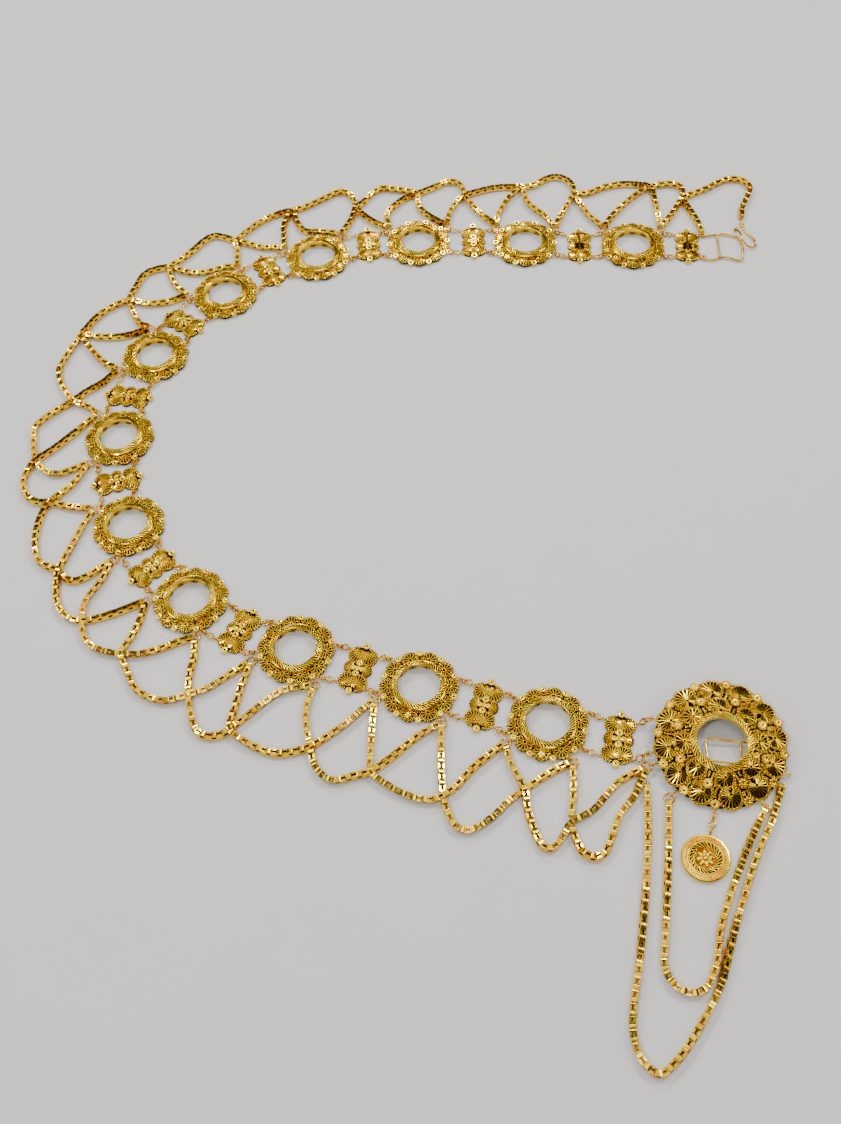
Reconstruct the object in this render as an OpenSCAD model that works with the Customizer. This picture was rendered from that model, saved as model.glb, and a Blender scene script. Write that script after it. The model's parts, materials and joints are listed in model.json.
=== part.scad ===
// Gold belt, laid out as it rests: twelve open coin medallions and thirteen link
// plaques joined by ring pairs, a domed round buckle with a pendant, and a
// rounded box chain that runs in crossing swags along the outer side.
// X to the right, Y away from the viewer, Z up from the floor, millimetres.

/* [Medallions] */
// Radius of the round opening that shows the coin
coin_opening_r = 10.2; // [9.5:0.1:10.8]
// Radius of the seat that takes a 22 mm coin from behind
coin_seat_r = 11.15; // [10.9:0.05:11.4]
// Depth of the coin seat, from the floor side
coin_seat_depth = 4.2; // [2:0.1:4.4]
// Height of a medallion at its inner lip
medallion_h = 5; // [4.5:0.1:6]
// Radius of each of the ten filigree fans around the collar
fan_r = 4.6; // [4:0.1:5]
// Distance of the fan centres from the medallion centre
fan_ring_r = 14.8; // [14:0.1:15.5]
// Radius of the small studs between the fans
stud_r = 1.6; // [1:0.1:2]

/* [Link plaques] */
// Radius of each of the four corner fans of a plaque
plaque_fan_r = 4.9; // [4:0.1:5.2]
// Thickness of a plaque's base plate
plaque_h = 1.4; // [1:0.1:2]
// Height of the relief on a plaque
plaque_relief_h = 2.4; // [2:0.1:3]

/* [Buckle] */
// Radius of the buckle over its outer fans
buckle_r = 31.1; // [29:0.1:33]
// Radius of the buckle's round hole
buckle_hole_r = 11.2; // [10:0.1:12]
// Tilt of the buckle about X, near edge down, in degrees
buckle_tilt = 7; // [0:0.5:9]

/* [Pendant] */
// Radius of the coin pendant
pendant_r = 10.7; // [9:0.1:12]
// Thickness of the coin pendant at its rim
pendant_h = 2.2; // [1.6:0.1:3]

/* [Rings and chain] */
// Wire radius of the small ring pairs that join medallions and plaques
joint_wire_r = 0.3; // [0.25:0.05:0.4]
// Centre line radius of the small joining rings
joint_ring_r = 1.45; // [1.3:0.05:1.6]
// Half width of a joining link that climbs steeply to its eyelet
steep_link_half = 1.7; // [1.45:0.05:1.9]
// Climb above which a joining link counts as steep
steep_rise = 3; // [2:0.5:4]
// Wire radius of the rings that carry the swags
drop_wire_r = 0.4; // [0.3:0.05:0.5]
// Centre line radius of the rings that carry the swags
drop_ring_r = 2.3; // [2:0.1:2.6]
// Radius of the rounded box chain
chain_r = 1.8; // [1.6:0.05:1.9]
// Free space kept between pieces that rest in one another
seat_gap = 0.3; // [0.2:0.05:0.5]

/* [Hidden] */
$fn = 48;

// Metal colours for the preview
gold = [0.93, 0.72, 0.25];
deep_gold = [0.78, 0.55, 0.16];
pale_gold = [0.97, 0.83, 0.45];

// The layout sheet was read with its origin left of the belt and nearer the
// viewer; a sheet point less this origin is a point of the model
sheet = [5, 353];

// Medallion centres, from the buckle round to the end frame: x, y
med_at = [[47.5, -109], [-11, -84.5], [-69.5, -59], [-122, -26],
    [-156, 22.5], [-164.5, 81.5], [-147.5, 139], [-108, 183.5],
    [-52.5, 208], [8.5, 213.5], [72.5, 206], [136, 197]];

// Link plaques in the same order: x, y, heading towards the buckle in degrees
plaque_at = [[79, -119.5, -15], [18.8, -97, -22], [-39.8, -72.2, -23],
    [-97.4, -45.9, -34.2], [-142.7, -4.7, -53.1], [-164, 52.4, -79.7],
    [-161.3, 111.1, -103], [-132.2, 163.8, -127.2], [-82.2, 200.6, -156.3],
    [-21.6, 215.7, 181.1], [41.8, 211.5, 177], [104.5, 200.5, 174],
    [168, 193.2, 172]];

// The buckle's centre and the height of its dome's base plane there
buckle_at = [123.9, -127.4, 4.2];
buckle_slope = 12.7;
buckle_collar_r = 14.4;
buckle_top = 4.6;
buckle_wall = 1.2;

// Sizes shared by the medallions
med_wall_r = 12.4;
med_band_r = 13;
med_flange_r = 16.5;
flange_z = [1.2, 2.6];
fan_z = [1.05, 2.75];
fan_count = 10;
stud_ring_r = 17.5;
eyelet_at = 20;
outer_eyelet_angle = 28;
eyelet_z = 2.1;
eyelet_ring_r = 1.0;
eyelet_wire_r = 0.275;
drop_staple_at = 19.9;
drop_staple_ring_r = 0.95;
drop_z = 1.35;
drop_at = drop_staple_at + drop_ring_r;

// Angles of the two eyelets on the inner side of each medallion, from its
// heading and from the opposite direction
inner_eyelet_angles = [[28, 28], [28, 28], [28, 28], [29, 36], [36, 25.5],
    [39, 35], [31, 37], [32, 33], [30, 28], [29, 28], [28, 28], [28, 28]];

// Angles of the two drop staples of each medallion, to the outer side of its
// heading: the one nearer the buckle and the one further round
drop_angles = [[48, 141], [42, 143], [40, 140], [39, 140], [39, 144],
    [39, 140], [39, 141], [39, 144.6], [40, 144], [39, 143], [39, 143],
    [40, 139]];

// Sizes shared by the plaques
plaque_fan_at = [2.6, 7.2];
plaque_staple_at = [8, 9.4];
plaque_staple_z = 1.2;
plaque_staple_ring_r = 0.85;
plaque_staple_wire_r = 0.25;
plaque_tip_at = 12.6;

// Chain sizes
chain_z = 1.85;
tip_r = 0.8;
tip_length = 4;
long_link_half = 1;

// The swags hang from rings 0 to 25: swag k runs from ring k through crossing k,
// its low part and crossing k - 1 to ring k - 2. Sheet points, in mm.
crossing_at = [[0, 0], [57, 195.5], [38, 212], [1, 212.5], [-31, 227],
    [-58, 242], [-96, 254], [-116, 274], [-150.5, 299], [-171, 319.5],
    [-185.5, 350], [-194, 394], [-204, 423], [-187, 463], [-186, 512],
    [-160, 537], [-137, 562], [-97, 580], [-63, 602], [-23, 601],
    [15.5, 609], [45, 604], [81, 607], [112, 597], [159, 598.5], [177, 586]];

// Each row: points before crossing k, the low part, points after crossing k - 1
swag_rows = [
    [[], [], []],
    [[[60, 209]],
        [[58, 187], [60, 181.5], [65, 178.5], [70, 180.5], [75, 189],
            [79, 197], [86.3, 205]],
        []],
    [[[33.4, 225]],
        [[38, 204], [40, 193], [43, 185.5], [48, 184.5], [53, 190]],
        [[67, 200], [74, 206.5], [81.8, 213]]],
    [[[2, 237], [1, 225]],
        [[2.5, 205], [5, 198.5], [10, 195.5], [16, 197], [24, 202], [31, 208]],
        [[46, 217], [54, 221]]],
    [[[-29.5, 250], [-30.5, 239]],
        [[-25, 221], [-18, 216], [-11, 212.5], [-4, 211]],
        [[8, 217], [15, 224], [23, 230]]],
    [[[-60, 262], [-60, 251]],
        [[-57, 234], [-53, 227], [-47, 224], [-39, 225.5]],
        [[-22, 232.5], [-14, 238.5], [-6, 244]]],
    [[[-91, 275], [-94, 264]],
        [[-89, 247], [-81, 242], [-73, 239.5], [-65, 240]],
        [[-49, 247], [-41, 252.5], [-34, 258.5]]],
    [[[-114, 294], [-116, 284]],
        [[-115, 264], [-112, 254.5], [-106, 251], [-100, 251.5]],
        [[-88, 260], [-80, 266.5], [-71, 272]]],
    [[[-142, 316], [-146, 307]],
        [[-147, 290], [-143, 280.5], [-136, 274.5], [-127, 271.5]],
        [[-107, 276.5], [-98, 282]]],
    [[[-163, 342], [-170, 331]],
        [[-169, 310], [-164, 304], [-158, 301]],
        [[-141, 298], [-131, 300], [-121, 303.5]]],
    [[[-175, 377], [-179, 367], [-183, 357]],
        [[-185.5, 341], [-184, 331], [-179, 323]],
        [[-162, 320.5], [-153, 323]]],
    [[[-182, 405.5], [-188, 399.5]],
        [[-197.5, 386], [-199, 377], [-199, 368], [-196, 357]],
        [[-181, 345], [-175, 343.5], [-167, 347.5]]],
    [[[-179.6, 444.6], [-186, 438.4], [-195, 430]],
        [[-208, 416], [-209.5, 408], [-207, 400], [-201, 395]],
        [[-186, 391], [-178, 389]]],
    [[[-171, 475], [-180, 469]],
        [[-195, 457.5], [-202, 452], [-207, 446], [-206.5, 435]],
        [[-198, 415], [-190.5, 412.5], [-183, 415]]],
    [[[-156.4, 510], [-165, 508.8], [-176, 510]],
        [[-191, 503], [-195, 494], [-197, 486], [-194.5, 476]],
        [[-180, 459]]],
    [[[-137, 533.5], [-149, 533.5]],
        [[-170, 533], [-178, 526], [-184, 517]],
        [[-180, 501], [-172, 490]]],
    [[[-103, 558.5], [-112, 556], [-121, 555.5], [-129, 558]],
        [[-146, 561], [-152, 557.5], [-156, 549]],
        [[-157, 527], [-153, 518]]],
    [[[-74, 572], [-82, 573], [-90, 577]],
        [[-104, 584], [-111, 586], [-117, 582], [-123, 575], [-130, 568]],
        [[-136, 554], [-132, 545]]],
    [[[-38, 580.5], [-47, 582.3], [-55, 584], [-59.5, 591.5]],
        [[-72, 600.5], [-80, 596.5], [-87, 591]],
        [[-96, 571]]],
    [[[-11, 586], [-17, 592]],
        [[-24, 609], [-28, 615], [-33, 616.5], [-40, 613], [-48, 608.5],
            [-56, 604.5]],
        [[-67.5, 590.5], [-67.5, 580]]],
    [[[24, 586], [18, 593], [15.5, 600]],
        [[8, 613], [1, 615], [-6, 616.5], [-13, 612], [-18, 605.5]],
        [[-26, 591]]],
    [[[55, 584], [49, 594]],
        [[44, 612], [40, 617], [34, 617.5], [27, 614]],
        [[8, 606], [1, 600], [-4, 593]]],
    [[[92, 580], [86, 588], [82, 596]],
        [[74, 608.5], [65, 609], [56, 607.5]],
        [[39, 598], [34, 589]]],
    [[[119, 577], [115, 587]],
        [[112, 605], [109, 611], [103, 614.5], [96, 613], [89, 608.5]],
        [[74, 602], [68, 593], [63, 583]]],
    [[[160, 575], [160, 587]],
        [[150, 602], [141, 603], [131, 601.5], [121, 597.5]],
        [[107, 589], [102, 580]]],
    [[[182, 566], [179.5, 576]],
        [[178.5, 594], [175, 599], [168, 600]],
        [[149, 592], [140, 584], [132, 575]]],
    [[[211, 574], [216, 583], [219.5, 591], [216, 598], [209, 600],
            [202, 598], [194, 593.5], [186, 590]],
        [],
        [[171, 577], [166, 570]]]];
last_swag = 26;

// The two festoons under the buckle, sheet points from left to right
festoon_outer_pts = [[93, 203], [90.5, 190], [87.5, 175], [84.5, 162],
    [81.5, 150], [78.5, 138], [75, 125], [72, 115], [70.3, 105], [71, 97],
    [74, 91], [78.5, 88.3], [83, 90.5], [90, 96.5], [97, 104.5],
    [104, 113.5], [110, 123], [115, 134], [120, 145], [126, 156],
    [132, 167.5], [138, 178], [145, 189]];
festoon_inner_pts = [[99, 188], [96.5, 175], [94, 163], [91.5, 151],
    [89, 139], [87.5, 131], [88.5, 125], [92, 120.5], [97, 118.5],
    [102, 119.5], [106, 124], [110, 132], [113, 142], [117, 151],
    [121, 159], [126, 168], [131, 176.5], [136, 184.5]];

// Small helpers on points
function unit(v) = v / norm(v);
function polar(r, a) = [r * cos(a), r * sin(a)];
function turn(p, a) = [p[0] * cos(a) - p[1] * sin(a),
    p[0] * sin(a) + p[1] * cos(a)];
function flat(p) = [p[0], p[1]];
function angle_of(v) = atan2(v[1], v[0]);
function off_sheet(pts) = [for (p = pts) p - sheet];

// Heading of medallion i (1 to 12): along the line from its next neighbour to
// its last one, so that its left side is the inside of the belt
med_line = concat([flat(buckle_at)], med_at, [flat(plaque_at[12])]);
function med_heading(i) = angle_of(med_line[i - 1] - med_line[i + 1]);
function on_med(i, r, a) = med_line[i] + polar(r, a + med_heading(i));
function eyelet_dir(i, side, away) = let (a = side > 0
    ? inner_eyelet_angles[i - 1][away] : outer_eyelet_angle)
    side * (away == 1 ? 180 - a : a);
function eyelet_by(j, x, side) = x < 0
    ? on_med(j, eyelet_at, eyelet_dir(j, side, 0))
    : j == 1 ? flat(side > 0 ? buckle_upper_eyelet : buckle_lower_eyelet)
    : on_med(j - 1, eyelet_at, eyelet_dir(j - 1, side, 1));
function on_plaque(j, p) = flat(plaque_at[j - 1])
    + turn(p, plaque_at[j - 1][2]);

// A staple turns part of the way towards the ring pair it carries
function within_turn(a) = a > 180 ? a - 360 : a < -180 ? a + 360 : a;
function staple_turn(j, x, side) = j == 13 && x < 0 ? 0
    : let (p = on_plaque(j, [x * plaque_staple_at[0], side * plaque_staple_at[1]]),
        a = within_turn(angle_of(x * (eyelet_by(j, x, side) - p))
            - plaque_at[j - 1][2]))
    max(-32, min(32, 0.75 * within_turn(a)));

// A point of the buckle's own frame, carried to the floor frame
function on_buckle(p) = [buckle_at[0] + p[0],
    buckle_at[1] + p[1] * cos(buckle_tilt) - p[2] * sin(buckle_tilt),
    buckle_at[2] + p[1] * sin(buckle_tilt) + p[2] * cos(buckle_tilt)];
function buckle_rim(r, a, z) = on_buckle([r * cos(a), r * sin(a), z]);

// Where the buckle carries the first plaque, the pendant and the chains
buckle_eyelet_at = 32.9;
buckle_eyelet_r = 1.2;
buckle_upper_eyelet = buckle_rim(buckle_eyelet_at, 153, 0.3);
buckle_lower_eyelet = buckle_rim(buckle_eyelet_at, 182.5, 0.3);
buckle_pendant_eyelet = buckle_rim(buckle_eyelet_at, 255, 1.5);
a0_angle = 191.5;
a0_staple = concat(flat(buckle_at) + polar(33, a0_angle), [2.2]);
a0_ring = flat(buckle_at) + polar(33 + drop_ring_r, a0_angle);
left_angle = 220;
left_staple = concat(flat(buckle_at) + polar(32.6, left_angle), [1.4]);
left_ring = flat(buckle_at) + polar(32.6 + drop_ring_r, left_angle);
right_angle = -64;
right_ring_r = 1.6;
right_staple = concat(flat(buckle_at) + polar(32.4, right_angle), [1.4]);
right_ring = flat(buckle_at) + polar(32.4 + right_ring_r, right_angle);
far_right_angle = -29.7;
far_right_staple = concat(flat(buckle_at) + polar(33, far_right_angle), [1.6]);

// Centre of the ring that carries the end of a swag
function ring_at(k) = k == 0 ? a0_ring
    : on_med(ceil(k / 2), drop_at, -drop_angles[ceil(k / 2) - 1][(k + 1) % 2]);

// The end frame's two eyes and the hook's eye
frame_wire_r = 0.6;
frame_z = 1.35;
frame_eye_r = 1.2;
frame_eye_inner = on_plaque(13, [-plaque_staple_at[0] - frame_eye_r,
    plaque_staple_at[1]]);
frame_eye_outer = on_plaque(13, [-plaque_staple_at[0] - frame_eye_r,
    -plaque_staple_at[1]]);
hook_eye = [203.2, 207.2];
hook_link_end = [204.2, 213.6];

// Chain ends: a little outside the ring, turned to the next point of the route
ring_reach = drop_ring_r + drop_wire_r + seat_gap;
function tip(c, next, reach) = c + reach * unit(next - c);
frame_reach = frame_eye_r + frame_wire_r + seat_gap;
function swag_start(k) = k == last_swag
    ? hook_link_end + (joint_wire_r + seat_gap) * [0.2, 0.98]
    : k == 25 ? tip(frame_eye_outer, swag_rows[k][0][0] - sheet, frame_reach)
    : tip(ring_at(k), swag_rows[k][0][0] - sheet, ring_reach);
function swag_end(k) = k == 1
    ? tip(ring_at(0), swag_rows[1][1][6] - sheet, ring_reach)
    : tip(ring_at(k - 2), swag_rows[k][2][len(swag_rows[k][2]) - 1] - sheet,
        ring_reach);
function swag_route(k) = k == 1
    ? concat([swag_start(1)], off_sheet(swag_rows[1][0]),
        [crossing_at[1] - sheet], off_sheet(swag_rows[1][1]), [swag_end(1)])
    : k == last_swag
    ? concat([swag_start(k)], off_sheet(swag_rows[k][0]),
        [crossing_at[k - 1] - sheet], off_sheet(swag_rows[k][2]),
        [swag_end(k)])
    : concat([swag_start(k)], off_sheet(swag_rows[k][0]),
        [crossing_at[k] - sheet], off_sheet(swag_rows[k][1]),
        [crossing_at[k - 1] - sheet], off_sheet(swag_rows[k][2]),
        [swag_end(k)]);

// Index of the crossings on a route: the first near ring k, the second later
function first_index(k) = 1 + len(swag_rows[k][0]);
function second_index(k) = k == last_swag ? first_index(k)
    : first_index(k) + 1 + len(swag_rows[k][1]);

// A smooth curve through the route's points, a few samples a span
samples = 6;
function pt(p, i) = p[max(0, min(len(p) - 1, i))];
function spline(p, i, t) = let (a = pt(p, i - 1), b = pt(p, i),
    c = pt(p, i + 1), d = pt(p, i + 2))
    0.5 * (2 * b + (c - a) * t + (2 * a - 5 * b + 4 * c - d) * t * t
        + (3 * b - a - 3 * c + d) * t * t * t);
function smooth(p) = concat([for (i = [0 : len(p) - 2])
    each [for (s = [0 : samples - 1]) spline(p, i, s / samples)]],
    [p[len(p) - 1]]);
function run(p, i = 0, s = 0, out = []) = i == len(p) ? out
    : let (t = i == 0 ? 0 : s + norm(p[i] - p[i - 1]))
    run(p, i + 1, t, concat(out, [t]));

// Place and direction at the distance s along a smooth curve
function table(q, s, axis) = [for (i = [0 : len(q) - 1]) [s[i], q[i][axis]]];
function at_run(tx, ty, s) = [lookup(s, tx), lookup(s, ty)];

// Distances at which the tube has a ring, for a piece from a to b that
// narrows at both ends
ring_step = 4.4;
function stations(a, b) = let (n = max(1, round((b - a - 2 * tip_length)
    / ring_step)), h = (b - a - 2 * tip_length) / n)
    concat([a, a + tip_length / 2],
        [for (i = [0 : n]) a + tip_length + i * h],
        [b - tip_length / 2, b]);
function narrow(s, a, b, r) = tip_r
    + (r - tip_r) * min(1, (s - a) / tip_length, (b - s) / tip_length);

// Eight-sided tube along a flat curve, as a list of rings
sides = 8;
function tube_ring(c, d, r, z) = let (n = [-d[1], d[0]])
    [for (k = [0 : sides - 1]) let (a = (k + 0.5) * 360 / sides)
        [c[0] + n[0] * r * cos(a), c[1] + n[1] * r * cos(a),
            z + r * sin(a)]];
function tube_faces(n) = concat(
    [[for (k = [0 : sides - 1]) k]],
    [for (i = [0 : n - 2]) for (k = [0 : sides - 1]) each
        let (a = i * sides + k, b = i * sides + (k + 1) % sides)
        [[a, a + sides, b + sides], [a, b + sides, b]]],
    [[for (k = [sides - 1 : -1 : 0]) (n - 1) * sides + k]]);

// One chain piece between the distances a and b of a smooth curve
module chain_piece(q, a, b) {
    s = run(q);
    tx = table(q, s, 0);
    ty = table(q, s, 1);
    st = stations(a, b);
    rings = [for (t = st) tube_ring(at_run(tx, ty, t),
        unit(at_run(tx, ty, t + 0.3) - at_run(tx, ty, t - 0.3)),
        narrow(t, a, b, chain_r), chain_z)];
    polyhedron(points = [for (r = rings) each r], faces = tube_faces(len(st)));
}

// A bent wire of one thickness through points given with their heights
function wire_ring(p, i, r) = let (d = unit(pt(p, i + 1) - pt(p, i - 1)),
    n = unit(cross([0, 0, 1], d)), b = cross(d, n))
    [for (k = [0 : sides - 1]) let (a = (k + 0.5) * 360 / sides)
        p[i] + r * (n * cos(a) + b * sin(a))];
module wire(p, r) {
    rings = [for (i = [0 : len(p) - 1]) wire_ring(p, i, r)];
    polyhedron(points = [for (q = rings) each q], faces = tube_faces(len(p)));
}

// The same wire closed on itself
module wire_loop(p, r) {
    n = len(p);
    rings = [for (i = [0 : n - 1]) let (
        d = unit(p[(i + 1) % n] - p[(i + n - 1) % n]),
        a = unit(cross([0, 0, 1], d)), b = cross(d, a))
        [for (k = [0 : sides - 1]) let (t = (k + 0.5) * 360 / sides)
            p[i] + r * (a * cos(t) + b * sin(t))]];
    faces = [for (i = [0 : n - 1]) for (k = [0 : sides - 1]) each
        let (m = (k + 1) % sides, j = (i + 1) % n, a = i * sides + k,
            b = i * sides + m, c = j * sides + k, e = j * sides + m)
        [[a, c, e], [a, e, b]]];
    polyhedron(points = [for (q = rings) each q], faces = faces);
}

// Corners of a closed route, each rounded over the length d
function rounded(p, d) = let (n = len(p)) [for (i = [0 : n - 1]) each
    let (a = unit(p[(i + n - 1) % n] - p[i]), b = unit(p[(i + 1) % n] - p[i]))
    [p[i] + d * a, p[i] + 0.27 * d * (a + b), p[i] + d * b]];

// Distance from a point to a stretch of a curve
function to_span(p, a, b) = let (t = max(0, min(1,
    ((p - a) * (b - a)) / ((b - a) * (b - a))))) norm(p - a - t * (b - a));
function to_curve(p, q, i, j) = min([for (n = [max(0, i) : min(len(q) - 2, j)])
    to_span(p, q[n], q[n + 1])]);

// Whether a tapering end at the distance s, widening in the direction w, is
// clear of the curve q near its sample m
function is_clear(tx, ty, s, w, q, m) = min([for (t = [0, 1.3, 2.6, 4])
    let (c = at_run(tx, ty, s + w * t),
        d = unit(at_run(tx, ty, s + w * t + 0.3)
            - at_run(tx, ty, s + w * t - 0.3)),
        r = tip_r + (chain_r - tip_r) * t / tip_length,
        n = r * [-d[1], d[0]])
    min(to_curve(c + n, q, m - 24, m + 24), to_curve(c - n, q, m - 24, m + 24),
        to_curve(c, q, m - 24, m + 24))]) > chain_r + seat_gap;

// How far from a crossing at s the cut swag stops, clear of the one that runs on
function stand_off(tx, ty, s, w, q, m) = [for (g = [2 : 0.2 : 10])
    if (is_clear(tx, ty, s + w * g, w, q, m)) g][0];

module swag_whole(k) {
    q = smooth(swag_route(k));
    s = run(q);
    chain_piece(q, 0, s[len(s) - 1]);
}

module swag_cut(k) {
    q = smooth(swag_route(k));
    s = run(q);
    tx = table(q, s, 0);
    ty = table(q, s, 1);
    whole = s[len(s) - 1];
    after = smooth(swag_route(k + 1));
    m = second_index(k + 1) * samples;
    s1 = s[first_index(k) * samples];
    chain_piece(q, 0, s1 - stand_off(tx, ty, s1, -1, after, m));
    b = s1 + stand_off(tx, ty, s1, 1, after, m);
    if (k == 1) {
        chain_piece(q, b, whole);
    } else {
        before = smooth(swag_route(k - 1));
        n = first_index(k - 1) * samples;
        s2 = s[second_index(k) * samples];
        chain_piece(q, b, s2 - stand_off(tx, ty, s2, -1, before, n));
        chain_piece(q, s2 + stand_off(tx, ty, s2, 1, before, n), whole);
    }
}

// Ring lying flat at a point
module ring_flat(at, r, w) {
    translate(at) rotate_extrude() translate([r, 0]) circle(r = w, $fn = 24);
}

// Ring standing upright in the vertical plane of the angle a
module ring_upright(at, r, w, a) {
    translate(at) rotate([90, 0, a]) rotate_extrude() translate([r, 0])
        circle(r = w, $fn = 24);
}

// Long link between two wire centres, side gives its half width and the
// direction across it
module long_link(p, q, half, across, w) {
    u = unit(q - p);
    v = unit(across - (across * u) * u);
    n = cross(u, v);
    length = norm(q - p);
    h = min(half, length / 2);
    multmatrix([[u[0], v[0], n[0], p[0]], [u[1], v[1], n[1], p[1]],
        [u[2], v[2], n[2], p[2]]]) {
        if (length <= 2 * h + 0.01) {
            ring_flat([length / 2, 0, 0], length / 2, w);
        } else {
            translate([h, 0, 0]) rotate([0, 0, 90]) rotate_extrude(angle = 180)
                translate([h, 0]) circle(r = w, $fn = 24);
            translate([length - h, 0, 0]) rotate([0, 0, -90])
                rotate_extrude(angle = 180) translate([h, 0])
                circle(r = w, $fn = 24);
            for (y = [-h, h]) translate([h - 0.08, y, 0]) rotate([0, 90, 0])
                cylinder(r = w * 1.03, h = length - 2 * h + 0.16, $fn = 24);
        }
    }
}

// A flat ring through a staple and an upright ring through an eyelet, linked.
// Where the two are close the rings rise in a peak, where they are far apart
// both are drawn out.
module joint(staple, eyelet) {
    u = unit(flat(eyelet - staple));
    side = [-u[1], u[0], 0];
    d = norm(flat(eyelet - staple));
    rise = eyelet[2] - staple[2];
    far = norm([d, rise]);
    slack = 1.03;
    near_taut = 2 * joint_ring_r * 2 - slack;
    if (far >= near_taut) {
        each_length = (far + slack) / 2;
        line = unit(eyelet - staple);
        long_link(staple, staple + line * each_length, joint_ring_r, side,
            joint_wire_r);
        long_link(eyelet - line * each_length, eyelet,
            rise > steep_rise ? steep_link_half : joint_ring_r,
            [0, 0, 1], joint_wire_r);
    } else {
        reach = 2 * joint_ring_r + 0.42;
        lean = acos((far * far + joint_ring_r * joint_ring_r - reach * reach)
            / (2 * far * joint_ring_r));
        climb = lean - asin(rise / far);
        centre = eyelet + joint_ring_r
            * [-u[0] * cos(climb), -u[1] * cos(climb), sin(climb)];
        long_link(staple, staple + 2 * joint_ring_r * unit(centre - staple),
            joint_ring_r, side, joint_wire_r);
        ring_upright(centre, joint_ring_r, joint_wire_r, angle_of(u));
    }
}

module medallion(i) {
    color(gold)
    translate(concat(med_line[i], [0])) rotate([0, 0, med_heading(i)])
    difference() {
        union() {
            rotate_extrude() polygon([[9, 0], [med_wall_r, 0],
                [med_wall_r, flange_z[0]], [med_flange_r, flange_z[0]],
                [med_flange_r, flange_z[1]], [med_band_r, flange_z[1]],
                [med_band_r, 3.9], [med_band_r - 0.25, 4.05],
                [coin_opening_r + 0.3, medallion_h], [9, medallion_h]]);
            for (k = [0 : fan_count - 1]) {
                rotate([0, 0, 90 + 36 * k]) translate([fan_ring_r, 0, fan_z[0]])
                    cylinder(r = fan_r, h = fan_z[1] - fan_z[0]);
                rotate([0, 0, 36 * k]) translate([stud_ring_r, 0, 1.5])
                    cylinder(r = stud_r, h = 1.5);
            }
            for (s = [-1, 1]) for (e = [0, 1]) {
                a = eyelet_dir(i, s, e);
                ring_flat(concat(polar(eyelet_at, a), [eyelet_z]),
                    eyelet_ring_r, eyelet_wire_r);
                rotate([0, 0, a]) translate([16.1, 0, eyelet_z])
                    rotate([0, 90, 0]) cylinder(r = 0.4, h = 2.95);
            }
            for (a = -drop_angles[i - 1]) {
                ring_upright(concat(polar(drop_staple_at, a), [drop_z]),
                    drop_staple_ring_r, eyelet_wire_r, a);
                rotate([0, 0, a]) translate([16.1, 0, 1.7])
                    rotate([0, 90, 0]) cylinder(r = 0.4, h = 2.95);
            }
        }
        translate([0, 0, -1]) cylinder(r = coin_seat_r, h = 1 + coin_seat_depth);
        translate([0, 0, 3]) cylinder(r = coin_opening_r, h = 10);
    }
}

module link_plaque(j) {
    barred = j >= 12;
    wide_hole = j == 13 ? 0.3 : 0;
    color(gold)
    translate(concat(flat(plaque_at[j - 1]), [0]))
    rotate([0, 0, plaque_at[j - 1][2]]) union() {
        for (x = [-1, 1]) for (y = [-1, 1])
            translate([x * plaque_fan_at[0], y * plaque_fan_at[1], 0])
                cylinder(r = plaque_fan_r, h = plaque_h);
        for (x = [-1, 1]) translate([x * 3.9, 0, 0])
            cylinder(r = 3.3, h = plaque_h);
        cylinder(r = 4.2, h = plaque_h);
        for (y = [-1, 1]) {
            translate([0, y * plaque_tip_at, 0])
                cylinder(r = 1.5, h = plaque_relief_h);
            if (!barred) translate([0, y * 2.9, 0])
                cylinder(r = 1.6, h = plaque_relief_h);
        }
        if (barred) {
            translate([-1.3, -4.5, 0]) cube([2.6, 9, plaque_relief_h]);
        } else {
            for (x = [-1, 1]) translate([x * 2.3, 0, 0])
                cylinder(r = 1.1, h = plaque_relief_h - 0.1);
        }
        for (x = [-1, 1]) for (y = [-1, 1]) {
            w = x < 0 ? wide_hole : 0;
            ring_upright([x * plaque_staple_at[0], y * plaque_staple_at[1],
                plaque_staple_z + w], plaque_staple_ring_r + w,
                plaque_staple_wire_r, staple_turn(j, x, y));
            translate([x * 5.5, y * plaque_staple_at[1], 0.95])
                rotate([0, x * 90, 0]) cylinder(r = 0.35, h = 1.6 - w);
        }
    }
}

// Carries a shape of the buckle's own frame to where the buckle lies
module in_buckle() {
    translate(buckle_at) rotate([buckle_tilt, 0, 0]) children();
}

// Disc lying on the buckle's cone
module cone_disc(r, a, disc_r, proud) {
    top = buckle_top - (r - buckle_collar_r) * tan(buckle_slope);
    rotate([0, 0, a]) translate([r, 0, top]) rotate([0, buckle_slope, 0])
        translate([0, 0, -buckle_wall])
        cylinder(r = disc_r, h = buckle_wall + proud);
}

// Bar from the buckle's rim out to a staple or eyelet
module rim_neck(at, z, back, ahead) {
    d = unit(flat(at) - flat(buckle_at));
    translate([at[0] - d[0] * back, at[1] - d[1] * back, z])
        rotate([0, 90, angle_of(d)]) cylinder(r = 0.4, h = back - ahead);
}

outer_fan_r = 5.6;

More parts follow.
